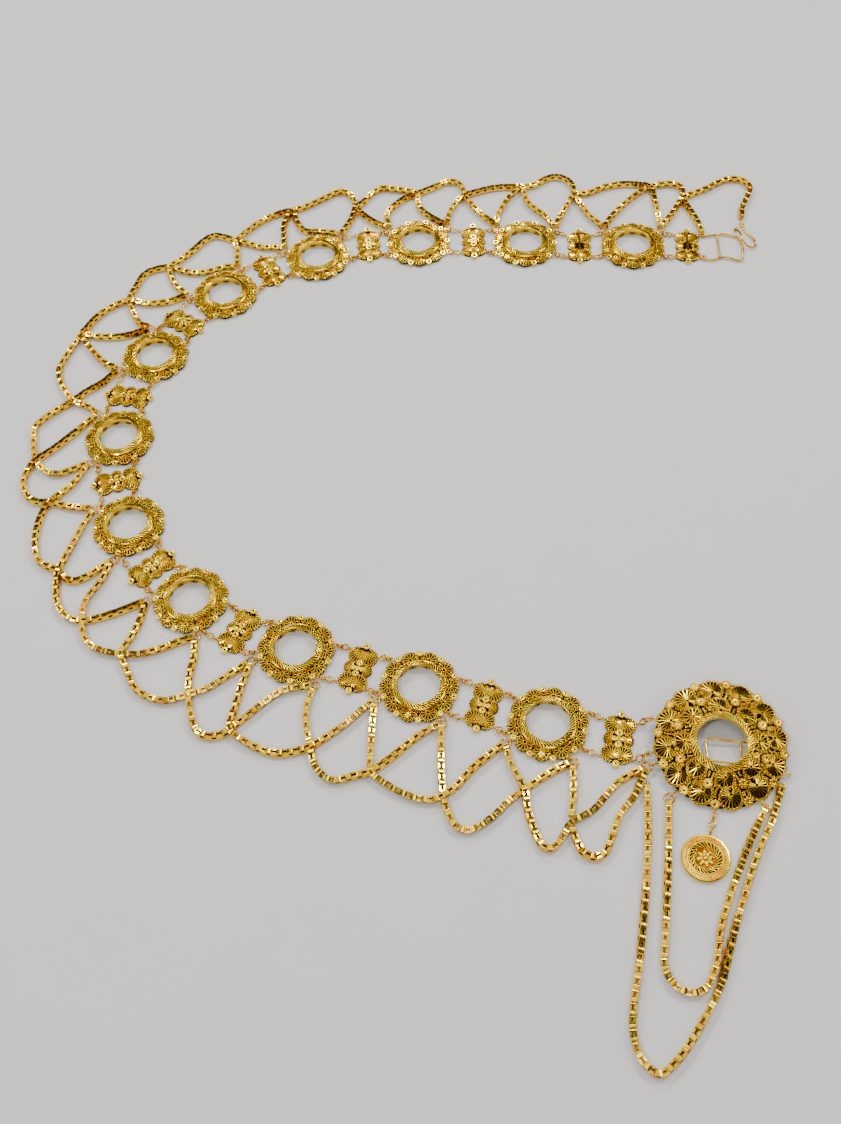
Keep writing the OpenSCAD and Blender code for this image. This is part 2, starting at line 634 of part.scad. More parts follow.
module buckle() {
    fall = tan(buckle_slope);
    cone_out = 27.5;
    color(gold) difference() {
        union() {
            in_buckle() {
                rotate_extrude() polygon([[buckle_hole_r - 1, 2.6],
                    [buckle_collar_r, buckle_top - buckle_wall],
                    [cone_out, buckle_top - buckle_wall
                        - (cone_out - buckle_collar_r) * fall],
                    [cone_out, buckle_top - (cone_out - buckle_collar_r) * fall],
                    [buckle_collar_r, buckle_top],
                    [buckle_collar_r - 0.2, buckle_top + 0.6],
                    [buckle_hole_r + 1.7, buckle_top + 1.3],
                    [buckle_hole_r - 1, buckle_top + 0.5]]);
                for (k = [0 : 11]) {
                    cone_disc(buckle_r - outer_fan_r, 30 * k, outer_fan_r, 0.35);
                    cone_disc(28.6, 15 + 30 * k, 2.2, 1.4);
                }
                for (k = [0 : 7]) {
                    cone_disc(17.3, 45 * k - 5, 5, 0.35);
                    cone_disc(20.5, 45 * k + 17.5, 2.4, 1.6);
                }
            }
            for (e = [buckle_upper_eyelet, buckle_lower_eyelet,
                buckle_pendant_eyelet]) {
                ring_flat(e, buckle_eyelet_r, eyelet_wire_r);
                rim_neck(e, e[2], 3.8, buckle_eyelet_r - 0.1);
            }
            ring_upright(a0_staple, drop_staple_ring_r, eyelet_wire_r, a0_angle);
            rim_neck(a0_staple, 3.4, 3.6, -0.3);
            ring_upright(left_staple, drop_staple_ring_r, eyelet_wire_r,
                left_angle);
            rim_neck(left_staple, 1.9, 3.6, drop_staple_ring_r - 0.2);
            ring_upright(right_staple, drop_staple_ring_r, eyelet_wire_r,
                right_angle);
            rim_neck(right_staple, 1.4, 3.6, drop_staple_ring_r - 0.1);
            ring_upright(far_right_staple, drop_staple_ring_r, eyelet_wire_r,
                angle_of(right_link_end - flat(far_right_staple)));
            rim_neck(far_right_staple, 2.6, 3.6, -0.1);
            for (p = catch_posts) translate([p[0], p[1], 1.6])
                cylinder(r = 1.5, h = 5.9);
        }
        in_buckle() cylinder(r = buckle_hole_r, h = 20, center = true);
        catch_bore();
    }
}

// The catch is a closed loop of wire that turns in two posts under the buckle
catch_wire_r = 0.5;
catch_z = 3;
catch_dir = [0.98, -0.2, 0];
catch_left = [[118, -123.1, catch_z], [117.2, -134.1, catch_z]];
catch_right = [catch_left[0] + 22 * catch_dir, catch_left[1] + 21 * catch_dir];
catch_cross = [catch_left[0] + 16 * catch_dir, catch_left[1] + 15 * catch_dir];
catch_posts = [for (t = [0.27, 0.73])
    catch_right[0] + t * (catch_right[1] - catch_right[0])];

module catch_bore() {
    d = catch_right[0] - catch_right[1];
    for (p = catch_posts) translate(p) rotate([0, 90, angle_of(d)])
        cylinder(r = catch_wire_r + seat_gap, h = 4, center = true);
}

module buckle_catch() {
    color(deep_gold) union() {
        wire_loop(rounded([catch_right[0], catch_left[0], catch_left[1],
            catch_right[1]], 1.4), catch_wire_r);
        wire([catch_cross[1], catch_cross[0]], catch_wire_r);
    }
}

pendant_at = [108, -178.5];
pendant_turn = 69.5;
bail_ring_r = 1.6;
bail_wire_r = 0.4;
bail_at = pendant_r + bail_ring_r + 0.1;
bail = concat(pendant_at + polar(bail_at, pendant_turn), [2]);

module pendant() {
    color(gold) union() {
        translate(concat(pendant_at, [0])) rotate_extrude() polygon([[0, 0],
            [pendant_r, 0], [pendant_r, pendant_h - 0.4],
            [pendant_r - 0.4, pendant_h], [pendant_r - 1.3, pendant_h],
            [pendant_r - 1.6, 1.5], [7.2, 1.5], [6.7, 2], [4.9, 2.2],
            [4.5, 1.6], [3.6, 1.6], [2.4, 2.2], [0, 2.4]]);
        ring_upright(bail, bail_ring_r, bail_wire_r, pendant_turn);
        translate(concat(pendant_at, [1.2])) rotate([0, 90, pendant_turn])
            translate([0, 0, pendant_r - 1])
            cylinder(r = 0.6, h = 1.5);
    }
}

module pendant_links() {
    color(pale_gold) joint(bail - [0, 0, 0.2], buckle_pendant_eyelet);
}

// The end frame's wire bends round into an eye at each end, in the last
// plaque's staples
function eye_turn(c, from, sweep) = [for (k = [0 : 8])
    concat(c + polar(frame_eye_r, from + sweep * k / 8), [frame_z])];
frame_route = concat(eye_turn(frame_eye_inner, 20, 250),
    [for (p = [[183.4, 533.7], [186, 533.2], [190, 534.5], [195, 534],
        [198, 532], [201, 531], [203, 532], [204, 537], [205, 541],
        [204.5, 547], [203.6, 550], [200, 552], [195, 554], [192, 553.6],
        [188, 553.4]]) concat(p - sheet, [frame_z])],
    eye_turn(frame_eye_outer, -90, -250));

module end_frame() {
    color(deep_gold) union() {
        wire(frame_route, frame_wire_r);
        wire([[187, 200.6, frame_z], [185.2, 181.6, frame_z]],
            frame_wire_r * 0.9);
    }
}

// The hook lies over the frame's wire and runs down to the floor at both ends
hook_wire_r = 0.6;
hook_route = [[199, 204, 1.4], [200.2, 201.5, 1.9], [200.6, 198.5, 2.8],
    [200.6, 194, 3.1], [201, 190.5, 3.0], [202.4, 188.6, 2.6],
    [204.4, 187.7, 1.8], [206.4, 188, 1.3], [208.2, 190, 1.2],
    [208.4, 193, 1.2], [207, 196.6, 1.2], [205.2, 200.4, 1.2],
    [203.6, 204, 1.2], [203.3, 205.9, 1.3]];
hook_eye_r = 1.3;
hook_eye_z = 1.45;

module hook() {
    color(deep_gold) union() {
        wire(hook_route, hook_wire_r);
        translate(hook_route[0]) sphere(r = 1.3);
        ring_flat(concat(hook_eye, [hook_eye_z]), hook_eye_r, 0.5);
    }
}

// Ring pairs along one side of the belt: side 1 is the inside, -1 the outside
module joint_rings(side) {
    for (j = [1 : 13]) {
        front = concat(on_plaque(j, [plaque_staple_at[0],
            side * plaque_staple_at[1]]), [plaque_staple_z]);
        back = concat(on_plaque(j, [-plaque_staple_at[0],
            side * plaque_staple_at[1]]), [plaque_staple_z]);
        if (j == 1) {
            joint(front, side > 0 ? buckle_upper_eyelet : buckle_lower_eyelet);
        } else {
            joint(front, concat(on_med(j - 1, eyelet_at,
                eyelet_dir(j - 1, side, 1)), [eyelet_z]));
        }
        if (j < 13) joint(back, concat(on_med(j, eyelet_at,
            eyelet_dir(j, side, 0)), [eyelet_z]));
    }
}

module drop_rings() {
    color(pale_gold) {
        for (k = [1 : 24])
            ring_flat(concat(ring_at(k), [drop_z]), drop_ring_r, drop_wire_r);
        ring_flat(concat(a0_ring, [a0_staple[2]]), drop_ring_r, drop_wire_r);
        ring_flat(concat(left_ring, [left_staple[2]]), drop_ring_r, drop_wire_r);
        ring_flat(concat(right_ring, [right_staple[2]]), right_ring_r,
            joint_wire_r);
    }
}

// Long links: at the first ring, at the right end of the outer festoon and at
// the hook
first_link_dir = unit(festoon_outer_pts[1] - sheet - a0_ring);
first_link = [a0_ring + 1.3 * first_link_dir, a0_ring + 9.3 * first_link_dir];
right_link_end = [147.2, -149.6];

module end_links() {
    color(pale_gold) {
        long_link(concat(first_link[0], [2.2]), concat(first_link[1], [2.2]),
            long_link_half, [0, 0, 1], joint_wire_r);
        long_link(far_right_staple, concat(right_link_end, [far_right_staple[2]]),
            1.3, [1, -1, 0], joint_wire_r);
        long_link(concat(hook_eye, [hook_eye_z]),
            concat(hook_link_end, [hook_eye_z]), long_link_half + 0.1,
            [0, 0, 1], joint_wire_r);
    }
}

module festoon_outer() {
    inner = off_sheet(festoon_outer_pts);
    n = len(inner) - 1;
    last = unit(inner[n] - right_link_end);
    q = smooth(concat([first_link[1] + 0.6 * first_link_dir],
        [for (i = [1 : n]) inner[i]], [right_link_end + 0.7 * last]));
    s = run(q);
    color(gold) chain_piece(q, 0, s[len(s) - 1]);
}

module festoon_inner() {
    inner = off_sheet(festoon_inner_pts);
    n = len(inner) - 1;
    q = smooth(concat([tip(left_ring, inner[0], ring_reach)],
        inner, [tip(right_ring, inner[n],
            right_ring_r + joint_wire_r + seat_gap)]));
    s = run(q);
    color(gold) chain_piece(q, 0, s[len(s) - 1]);
}

// Two neighbouring swags: the first is linked into the second at the crossings
module swags(n) {
    color(n % 2 == 0 ? gold : pale_gold) {
        swag_cut(2 * n - 1);
        swag_whole(2 * n);
    }
}

medallion(1);  // medallion_01
medallion(2);  // medallion_02
medallion(3);  // medallion_03
medallion(4);  // medallion_04
medallion(5);  // medallion_05
medallion(6);  // medallion_06
medallion(7);  // medallion_07
medallion(8);  // medallion_08
medallion(9);  // medallion_09
medallion(10);  // medallion_10
medallion(11);  // medallion_11
medallion(12);  // medallion_12
link_plaque(1);  // link_plaque_01
link_plaque(2);  // link_plaque_02
link_plaque(3);  // link_plaque_03
link_plaque(4);  // link_plaque_04
link_plaque(5);  // link_plaque_05
link_plaque(6);  // link_plaque_06
link_plaque(7);  // link_plaque_07
link_plaque(8);  // link_plaque_08
link_plaque(9);  // link_plaque_09
link_plaque(10);  // link_plaque_10
link_plaque(11);  // link_plaque_11
link_plaque(12);  // link_plaque_12
link_plaque(13);  // link_plaque_13
buckle();
buckle_catch();
pendant();
pendant_links();
end_frame();
hook();
color(pale_gold) joint_rings(1);  // joint_rings_inner
color(pale_gold) joint_rings(-1);  // joint_rings_outer
drop_rings();
end_links();
festoon_outer();
festoon_inner();
swags(1);  // swags_01
swags(2);  // swags_02
swags(3);  // swags_03
swags(4);  // swags_04
swags(5);  // swags_05
swags(6);  // swags_06
swags(7);  // swags_07
swags(8);  // swags_08
swags(9);  // swags_09
swags(10);  // swags_10
swags(11);  // swags_11
swags(12);  // swags_12
swags(13);  // swags_13
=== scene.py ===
# %% [markdown]
# A gold belt in cells
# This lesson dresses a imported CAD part: twelve open coin medallions and thirteen
# link plaques in filigree, a domed round buckle with a coin pendant, and a
# rounded box chain that hangs from the outer side in crossing swags. The CAD
# solids say where everything lies. Here each of them gets the wires, loops,
# studs and chain links that its plain solid stands for.

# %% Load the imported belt
import json
import math

import bpy
from mathutils import Matrix, Quaternion, Vector

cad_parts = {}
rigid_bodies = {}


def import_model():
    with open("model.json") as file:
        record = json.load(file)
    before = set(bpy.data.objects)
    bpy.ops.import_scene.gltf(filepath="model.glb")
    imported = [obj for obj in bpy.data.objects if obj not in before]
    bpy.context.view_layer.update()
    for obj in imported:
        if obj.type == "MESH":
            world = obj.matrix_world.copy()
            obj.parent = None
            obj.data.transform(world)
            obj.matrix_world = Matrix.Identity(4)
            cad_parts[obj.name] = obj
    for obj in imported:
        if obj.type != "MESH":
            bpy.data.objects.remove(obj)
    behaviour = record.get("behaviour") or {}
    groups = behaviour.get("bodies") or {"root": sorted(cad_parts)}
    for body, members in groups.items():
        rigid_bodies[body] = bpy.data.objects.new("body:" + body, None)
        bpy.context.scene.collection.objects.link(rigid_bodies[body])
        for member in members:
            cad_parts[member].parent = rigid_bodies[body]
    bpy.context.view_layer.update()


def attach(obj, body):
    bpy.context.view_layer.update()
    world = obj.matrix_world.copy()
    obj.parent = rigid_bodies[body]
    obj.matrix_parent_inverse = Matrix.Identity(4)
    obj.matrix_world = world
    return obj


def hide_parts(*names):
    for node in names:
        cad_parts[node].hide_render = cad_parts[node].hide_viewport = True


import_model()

MM = 0.001

# %% [markdown]
# The camera comes first, because every later choice is judged through it. A
# photograph of a thing lying flat fixes the camera well: lines of the belt that
# are known to be level give the pitch and the roll, and its width gives the
# distance. The axes are written out, so that nothing depends on Euler order.

# %% Camera
CAMERA_AT = Vector((-0.0056, -0.3524, 0.53305))
PITCH = math.radians(57.55)
ROLL = math.radians(-4.57)

ahead = Vector((0, math.cos(PITCH), -math.sin(PITCH)))
level = Vector((1, 0, 0))
above = level.cross(ahead)
rolled_right = level * math.cos(ROLL) + above * math.sin(ROLL)
rolled_up = above * math.cos(ROLL) - level * math.sin(ROLL)

bpy.ops.object.camera_add()
camera = bpy.context.object
camera.name = "camera"
turned = Matrix((rolled_right, rolled_up, -ahead)).transposed()
camera.matrix_world = Matrix.Translation(CAMERA_AT) @ turned.to_4x4()
camera.data.lens = 39.84
camera.data.sensor_width = 36
camera.data.clip_start = 0.01
camera.data.dof.use_dof = False
bpy.context.scene.camera = camera
print("camera", [round(v, 4) for v in camera.location])

# %% [markdown]
# Gold is a mirror with a colour: it shows what stands around it. A few large
# soft panels over a dim surround give it bright bands beside deep ones, and the
# same panels light the pale floor evenly. The panel behind the belt matters most,
# because flat tops mirror it straight into the camera.

# %% Floor, surround and soft panels
def new_material(name):
    """A material, its node tree and its Principled shader."""
    made = bpy.data.materials.new(name)
    made.use_nodes = True
    return made, made.node_tree, made.node_tree.nodes["Principled BSDF"]


def add_node(tree, kind, group=None, **values):
    """A shader node with some of its inputs set."""
    made = tree.nodes.new("ShaderNode" + kind)
    if group:
        made.node_tree = group
    for label, value in values.items():
        made.inputs[label.replace("_", " ")].default_value = value
    return made


def wire_up(tree, *steps):
    """Links in a node tree, each from a node's output to another's input."""
    for source, out, target, into in steps:
        tree.links.new(source.outputs[out], target.inputs[into])


def plain_material(name, colour, rough):
    """A matt material with a faint mottle, for the floor."""
    made, tree, shader = new_material(name)
    place = add_node(tree, "TexCoord")
    mottle = add_node(tree, "TexNoise", Scale=30, Detail=4)
    spread = add_node(tree, "MapRange", To_Min=0.97, To_Max=1.0)
    tint = add_node(tree, "Mix")
    tint.data_type = "RGBA"
    tint.blend_type = "MULTIPLY"
    tint.inputs["Factor"].default_value = 1
    tint.inputs["A"].default_value = (*colour, 1)
    shader.inputs["Roughness"].default_value = rough
    wire_up(tree, (place, "Object", mottle, "Vector"), (mottle, "Fac", spread, "Value"),
            (spread, "Result", tint, "B"), (tint, "Result", shader, "Base Color"))
    return made


bpy.ops.mesh.primitive_plane_add(size=8)
floor = bpy.context.object
floor.name = "pale_floor"
floor.data.materials.append(plain_material("pale_paper", (0.7, 0.69, 0.675), 0.85))

world = bpy.data.worlds.new("dim_surround")
bpy.context.scene.world = world
world.use_nodes = True
world.node_tree.nodes["Background"].inputs["Color"].default_value = (1, 0.97, 0.93, 1)
world.node_tree.nodes["Background"].inputs["Strength"].default_value = 0.06


def panel(name, at, wide, tall, watts, tint=(1, 1, 1)):
    """A soft rectangular light that faces the middle of the belt."""
    bpy.ops.object.light_add(type="AREA", location=at)
    lamp = bpy.context.object
    lamp.name = name
    lamp.rotation_euler = (-Vector(at)).to_track_quat("-Z", "Y").to_euler()
    lamp.data.shape = "RECTANGLE"
    lamp.data.size = wide
    lamp.data.size_y = tall
    lamp.data.energy = watts
    lamp.data.color = tint
    return lamp


panel("back_panel", (0, 0.9, 1.45), 1.5, 1.6, 8)
panel("top_panel", (0.05, -0.3, 1.6), 0.7, 0.7, 5)
panel("left_back_panel", (-1.2, 0.6, 1.2), 0.5, 0.5, 4)
panel("right_back_panel", (1.25, 0.5, 1.2), 0.5, 0.5, 4)
panel("left_panel", (-1.35, -0.3, 0.8), 0.4, 0.4, 3)
panel("right_panel", (1.3, -0.2, 0.8), 0.4, 0.4, 3, (1, 0.97, 0.92))
panel("front_panel", (0.1, -1.3, 1.1), 0.6, 0.35, 3)
panel("left_spark", (-0.75, 0.6, 1.2), 0.12, 0.12, 6)
panel("right_spark", (0.7, 0.4, 1.2), 0.12, 0.12, 6)
panel("near_spark", (-0.5, -0.6, 1.3), 0.12, 0.12, 5)
panel("far_spark", (0.1, 1.6, 1.3), 0.14, 0.14, 9)
print("floor, seven panels and four small lamps")

# %% [markdown]
# Seven finishes cover the belt. The soldered sheet in the recesses is painted near-black,
# as painted shade under the filigree, and the pendant's field a dark brown painted shade.
# Drawn wire is bright, pressed studs and lips are the palest because they are rubbed
# most, rosettes and rings are deeper, and the chain is polished all over. They share
# two effects, kept in shader groups: a slow drift of colour that keeps two neighbours
# from looking alike, and the fine rubbed scratches that soften a mirror. Both read
# Object coordinates, which are the floor's metres here, so no piece repeats another.

# %% Shader groups that the gold shares
def new_group(name, inputs, outputs):
    """An empty shader group with its sockets, and its two end nodes."""
    made = bpy.data.node_groups.new(name, "ShaderNodeTree")
    for label, kind, value in inputs:
        socket = made.interface.new_socket(label, in_out="INPUT", socket_type=kind)
        socket.default_value = value
    for label, kind in outputs:
        made.interface.new_socket(label, in_out="OUTPUT", socket_type=kind)
    return made, made.nodes.new("NodeGroupInput"), made.nodes.new("NodeGroupOutput")


def drift_group():
    """Colour that drifts between a deep and a pale gold over a few millimetres."""
    made, start, end = new_group("gold_drift", [
        ("Deep", "NodeSocketColor", (0.8, 0.45, 0.1, 1)),
        ("Pale", "NodeSocketColor", (1, 0.75, 0.35, 1)),
        ("Scale", "NodeSocketFloat", 160.0)],
        [("Colour", "NodeSocketColor")])
    place = add_node(made, "TexCoord")
    noise = add_node(made, "TexNoise", Detail=5, Roughness=0.6)
    ramp = add_node(made, "MapRange", From_Min=0.35, From_Max=0.62)
    ramp.interpolation_type = "SMOOTHSTEP"
    blend = add_node(made, "Mix")
    blend.data_type = "RGBA"
    wire_up(made, (place, "Object", noise, "Vector"), (start, "Scale", noise, "Scale"),
            (noise, "Fac", ramp, "Value"), (ramp, "Result", blend, "Factor"),
            (start, "Deep", blend, "A"), (start, "Pale", blend, "B"),
            (blend, "Result", end, "Colour"))
    return made


def rubbed_group():
    """Roughness and height of fine rubbing marks and hammer dimples."""
    made, start, end = new_group("rubbed_marks", [
        ("Smooth", "NodeSocketFloat", 0.15),
        ("Rough", "NodeSocketFloat", 0.35)],
        [("Roughness", "NodeSocketFloat"), ("Height", "NodeSocketFloat")])
    place = add_node(made, "TexCoord")
    squash = add_node(made, "Mapping", Scale=(1, 0.35, 1), Rotation=(0, 0, 0.6))
    fine = add_node(made, "TexNoise", Scale=2600, Detail=3)
    broad = add_node(made, "TexNoise", Scale=500)
    spread = add_node(made, "MapRange", From_Min=0.3, From_Max=0.7)
    both = add_node(made, "Math")
    both.operation = "ADD"
    wire_up(made, (place, "Object", squash, "Vector"), (squash, "Vector", fine, "Vector"),
            (place, "Object", broad, "Vector"), (broad, "Fac", spread, "Value"),
            (start, "Smooth", spread, "To Min"), (start, "Rough", spread, "To Max"),
            (spread, "Result", end, "Roughness"), (fine, "Fac", both, 0),
            (broad, "Fac", both, 1), (both, "Value", end, "Height"))
    return made


gold_drift = drift_group()
rubbed_marks = rubbed_group()


def gold(name, deep, pale, smooth, rough, bump, scale=160.0):
    """A gold finish: its two colours, its gloss and how deep its marks are."""
    made, tree, shader = new_material(name)
    shader.inputs["Metallic"].default_value = 1
    drift = add_node(tree, "Group", gold_drift, Deep=(*deep, 1), Pale=(*pale, 1), Scale=scale)
    marks = add_node(tree, "Group", rubbed_marks, Smooth=smooth, Rough=rough)
    relief = add_node(tree, "Bump", Strength=bump, Distance=0.00006)
    wire_up(tree, (drift, "Colour", shader, "Base Color"),
            (marks, "Roughness", shader, "Roughness"), (marks, "Height", relief, "Height"),
            (relief, "Normal", shader, "Normal"))
    return made


# painted shade: a near-black gold for sheets, cones, pin holes and link insides, where shade
# falls
painted_shade_gold = gold("painted_shade_gold", (0.008, 0.003, 0.0005), (0.028, 0.01, 0.001), 0.45, 0.65, 0.8)
wire_gold = gold("drawn_wire_gold", (0.92, 0.45, 0.008), (1.0, 0.65, 0.03), 0.14, 0.28, 0.35)
stud_gold = gold("pressed_stud_gold", (0.98, 0.56, 0.015), (1.0, 0.74, 0.05), 0.14, 0.28, 0.3)
chain_gold = gold("polished_chain_gold", (0.88, 0.42, 0.008), (1.0, 0.66, 0.03), 0.12, 0.24, 0.3)
# painted shade: a dark brown gold for the pendant's field, the shadow round its rosette
painted_shade_field = gold("shadowed_field_gold", (0.16, 0.055, 0.001), (0.45, 0.18, 0.006), 0.3, 0.5,
                  0.6, 260.0)
rosette_gold = gold("rosette_gold", (0.7, 0.32, 0.006), (0.95, 0.55, 0.02), 0.18, 0.34, 0.4)
ring_gold = gold("jump_ring_gold", (0.62, 0.27, 0.005), (0.95, 0.55, 0.02), 0.12, 0.26, 0.3)
print("finishes:", [m.name for m in bpy.data.materials if m.name.endswith("gold")])

# %% [markdown]
# Every piece below starts as an empty mesh at the origin, left open in edit mode.
# Wires, loops and studs are primitives added into it where they belong, and what
# goes round a centre is modelled once and spun into copies. Closing the piece
# merges its doubles, turns its faces outward and smooths it by angle.

# %% Helpers for modelling
def mode(name):
    """Goes into edit mode or back to object mode."""
    bpy.ops.object.mode_set(mode=name)


def calm():
    """Object mode with nothing selected."""
    if bpy.context.object and bpy.context.object.mode != "OBJECT":
        mode("OBJECT")
    bpy.ops.object.select_all(action="DESELECT")


def pick(*pieces):
    """Selects the pieces, the first one active."""
    calm()
    for piece in pieces:
        piece.select_set(True)
    bpy.context.view_layer.objects.active = pieces[0]


def open_piece(name):
    """An empty mesh at the origin, open in edit mode."""
    calm()
    bpy.ops.mesh.primitive_plane_add(size=MM, enter_editmode=True)
    bpy.ops.mesh.delete(type="VERT")
    bpy.context.object.name = name
    return bpy.context.object


def close_piece(piece, finish, smooth=40):
    """Ends edit mode: doubles merged, faces outward, smooth but for sharp edges."""
    bpy.ops.mesh.select_all(action="SELECT")
    bpy.ops.mesh.remove_doubles(threshold=0.002 * MM)
    bpy.ops.mesh.normals_make_consistent(inside=False)
    mode("OBJECT")
    bpy.ops.object.shade_smooth_by_angle(angle=math.radians(smooth))
    piece.data.materials.append(finish)
    return piece


def bar(start, end, radius, sides=4, roll=45, end_radius=None):
    """A short straight wire between two points, tapered where an end radius is given."""
    a, b = Vector(start), Vector(end)
    rolled = Quaternion((0, 0, 1), math.radians(roll))
    bpy.ops.mesh.primitive_cone_add(
        vertices=sides, radius1=radius * MM, radius2=(end_radius or radius) * MM,
        depth=(b - a).length * MM, location=(a + b) / 2 * MM,
        rotation=((b - a).to_track_quat("Z", "Y") @ rolled).to_euler())


def loop(at, radius, wire, around=7, across=4, turn=(0, 0, 0)):
    """A small ring of wire in the open piece."""
    bpy.ops.mesh.primitive_torus_add(
        major_radius=radius * MM, minor_radius=wire * MM, major_segments=around,
        minor_segments=across, location=Vector(at) * MM, rotation=turn)


def ball(at, radii, segments=8, rings=5):
    """A small sphere, or a lens where the radii differ, in the open piece."""
    bpy.ops.mesh.primitive_uv_sphere_add(
        segments=segments, ring_count=rings, radius=MM, location=Vector(at) * MM, scale=radii)


def post(at, radius, height, sides=16):
    """An upright cylinder that stands on a point, in the open piece."""
    bpy.ops.mesh.primitive_cylinder_add(
        vertices=sides, radius=radius * MM, depth=height * MM,
        location=Vector((at[0], at[1], at[2] + height / 2)) * MM)


def spin_copies(count):
    """Copies what is selected in edit mode into a full ring of count."""
    bpy.ops.mesh.spin(
        steps=count - 1, angle=2 * math.pi * (count - 1) / count, dupli=True,
        center=(0, 0, 0), axis=(0, 0, 1))


def lathe(profile, steps):
    """Turns a profile of (radius, height) points about Z, in the open piece."""
    bpy.ops.mesh.primitive_plane_add(size=MM)
    bpy.ops.mesh.merge(type="CENTER")
    bpy.ops.transform.translate(value=(profile[0][0] * MM, 0, profile[0][1] * MM))
    for (r0, z0), (r1, z1) in zip(profile, profile[1:]):
        bpy.ops.mesh.extrude_region_move(
            TRANSFORM_OT_translate={"value": ((r1 - r0) * MM, 0, (z1 - z0) * MM)})
    bpy.ops.mesh.select_linked()
    bpy.ops.mesh.spin(steps=steps, angle=2 * math.pi, center=(0, 0, 0), axis=(0, 0, 1))


def lathed(name, profile, steps, finish, smooth=30):
    """A turned piece, closed and finished."""
    piece = open_piece(name)
    lathe(profile, steps)
    return close_piece(piece, finish, smooth)


def polar(radius, degrees, z=0):
    """A point by radius, angle and height."""
    a = math.radians(degrees)
    return Vector((radius * math.cos(a), radius * math.sin(a), z))


def upright(degrees):
    """The rotation that stands a flat loop up along an angle."""
    return math.pi / 2, 0, math.radians(degrees)


def copy_of(piece, name):
    """A copy with its own mesh."""
    pick(piece)
    bpy.ops.object.duplicate(linked=False)
    bpy.context.object.name = name
    return bpy.context.object


def settle(piece, matrix):
    """Carries a piece to its place and leaves the place in its mesh."""
    piece.matrix_world = matrix
    pick(piece)
    bpy.ops.object.transform_apply(location=True, rotation=True, scale=True)
    return piece


def joined(name, pieces):
    """One piece out of several."""
    pick(*pieces)
    if len(pieces) > 1:
        bpy.ops.object.join()
    bpy.context.object.name = name
    bpy.context.object.data.name = name
    return bpy.context.object


def flat_turn(at, degrees):
    """The matrix that turns about Z and then moves."""
    return Matrix.Translation(Vector(at) * MM) @ Matrix.Rotation(
        math.radians(degrees), 4, "Z")


def spun(piece, count):
    """Spins a settled piece into a full ring of copies."""
    mode("EDIT")
    bpy.ops.mesh.select_all(action="SELECT")
    spin_copies(count)
    mode("OBJECT")
    return piece


def select_where(piece, kind, test):
    """Selects the edges or the faces of the open piece that pass a test."""
    bpy.ops.mesh.select_mode(type=kind)
    bpy.ops.mesh.select_all(action="DESELECT")
    mode("OBJECT")
    for part in {"EDGE": piece.data.edges, "FACE": piece.data.polygons}[kind]:
        part.select = test(part)
    mode("EDIT")


def to_circle(eye, way, reach):
    """How far it is from an eye along a direction to a circle about the origin."""
    b = eye.dot(way)
    return -b + math.sqrt(b * b - eye.length_squared + reach * reach)


def remove(*pieces):
    """Deletes patterns that were only modelled to be copied."""
    for piece in pieces:
        bpy.data.objects.remove(piece, do_unlink=True)


def show(piece, node):
    """Puts a finished piece in place of its CAD node."""
    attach(piece, "root")
    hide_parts(node)
    return sum(len(f.vertices) - 2 for f in piece.data.polygons)


def dress(node, name, parts):
    """Joins parts into the piece that takes a CAD node's place, and says its size."""
    print(f"{node}: {show(joined(name, parts), node)} triangles")


print("helpers ready")

# %% [markdown]
# A stud is a small pressed cup with a pin hole in its middle, soldered on flat.
# It could be a cylinder with an inset, but turning its profile gives the rounded
# shoulder and the dimple in one step.

# %% Stud
def stud(name, radius, foot, top, steps=14):
    """A round stud with a pin hole whose dimple holds a near-black disc of painted shade,
    standing on the plane z = foot.
    """
    # painted shade: a near-black disc darkens the pin hole's dimple
    pin = open_piece("pin_hole_painted_shade")
    bpy.ops.mesh.primitive_circle_add(vertices=8, radius=radius * 0.3 * MM, fill_type="NGON",
                                      location=(0, 0, (top - 0.1) * MM))
    close_piece(pin, painted_shade_gold)
    cup = lathed(name, [
        (0, foot), (radius, foot), (radius, top - 0.25), (radius * 0.93, top - 0.04),
        (radius * 0.4, top), (radius * 0.3, top - 0.12), (0, top - 0.12)], steps, stud_gold, 50)
    return joined(name, [cup, pin])


def rosette_stud(name, radius, foot, top):
    """A pressed flower: eight petals round a cup with a pin hole."""
    cup = stud("cup", radius * 0.55, foot, top, 12)
    petals = open_piece(name)
    ball((radius * 0.66, 0, top - 0.45), (radius * 0.36, radius * 0.27, 0.45))
    spin_copies(8)
    post((0, 0, foot), radius * 0.86, top - 0.45 - foot)
    return joined(name, [close_piece(petals, rosette_gold, 60), cup])


# %% [markdown]
# The fan is the motif that makes up the whole belt: an eye, wires that leave it
# like spokes, and a border of tiny loops, all over a sunk sheet painted near-black
# as the shade under the wires.
# Each spoke is one thin bar and each loop one small ring with few faces, because
# the belt has almost two hundred fans.

# %% Fan of wires and loops
def fan(name, spokes, loops, eye, reach, eye_r, spoke_r, loop_r, loop_wire, z,
        spoke_arc=360, loop_arc=360, slope=0.25):
    """A fan about the origin whose outer side is +X. Its eye may lie off centre."""
    wires = open_piece("spokes")
    for k in range(spokes):
        d = polar(1, spoke_arc * ((k + 0.5) / spokes - 0.5))
        far = to_circle(Vector((eye, 0, 0)), d, reach)
        start = Vector((eye, 0, z + slope)) + d * eye_r
        bar(start, Vector((eye, 0, z)) + d * far, spoke_r, end_radius=spoke_r * 2)
    close_piece(wires, wire_gold, 30)
    border = reach + loop_r + loop_wire * 0.2
    lace = open_piece(name)
    for k in range(loops):
        a = loop_arc * ((k + 0.5) / loops - 0.5)
        loop(polar(border, a, z), loop_r, loop_wire)
    loop((eye, 0, z + slope), eye_r, spoke_r * 1.5, 10, 5)
    return joined(name, [close_piece(lace, wire_gold, 120), wires])


def fan_sheet(name, radius, low, high, steps=22):
    """The sheet under a fan, painted near-black as the shade below its wires."""
    return lathed(name, [(0, low), (radius, low), (radius, high), (0, high)], steps, painted_shade_gold)


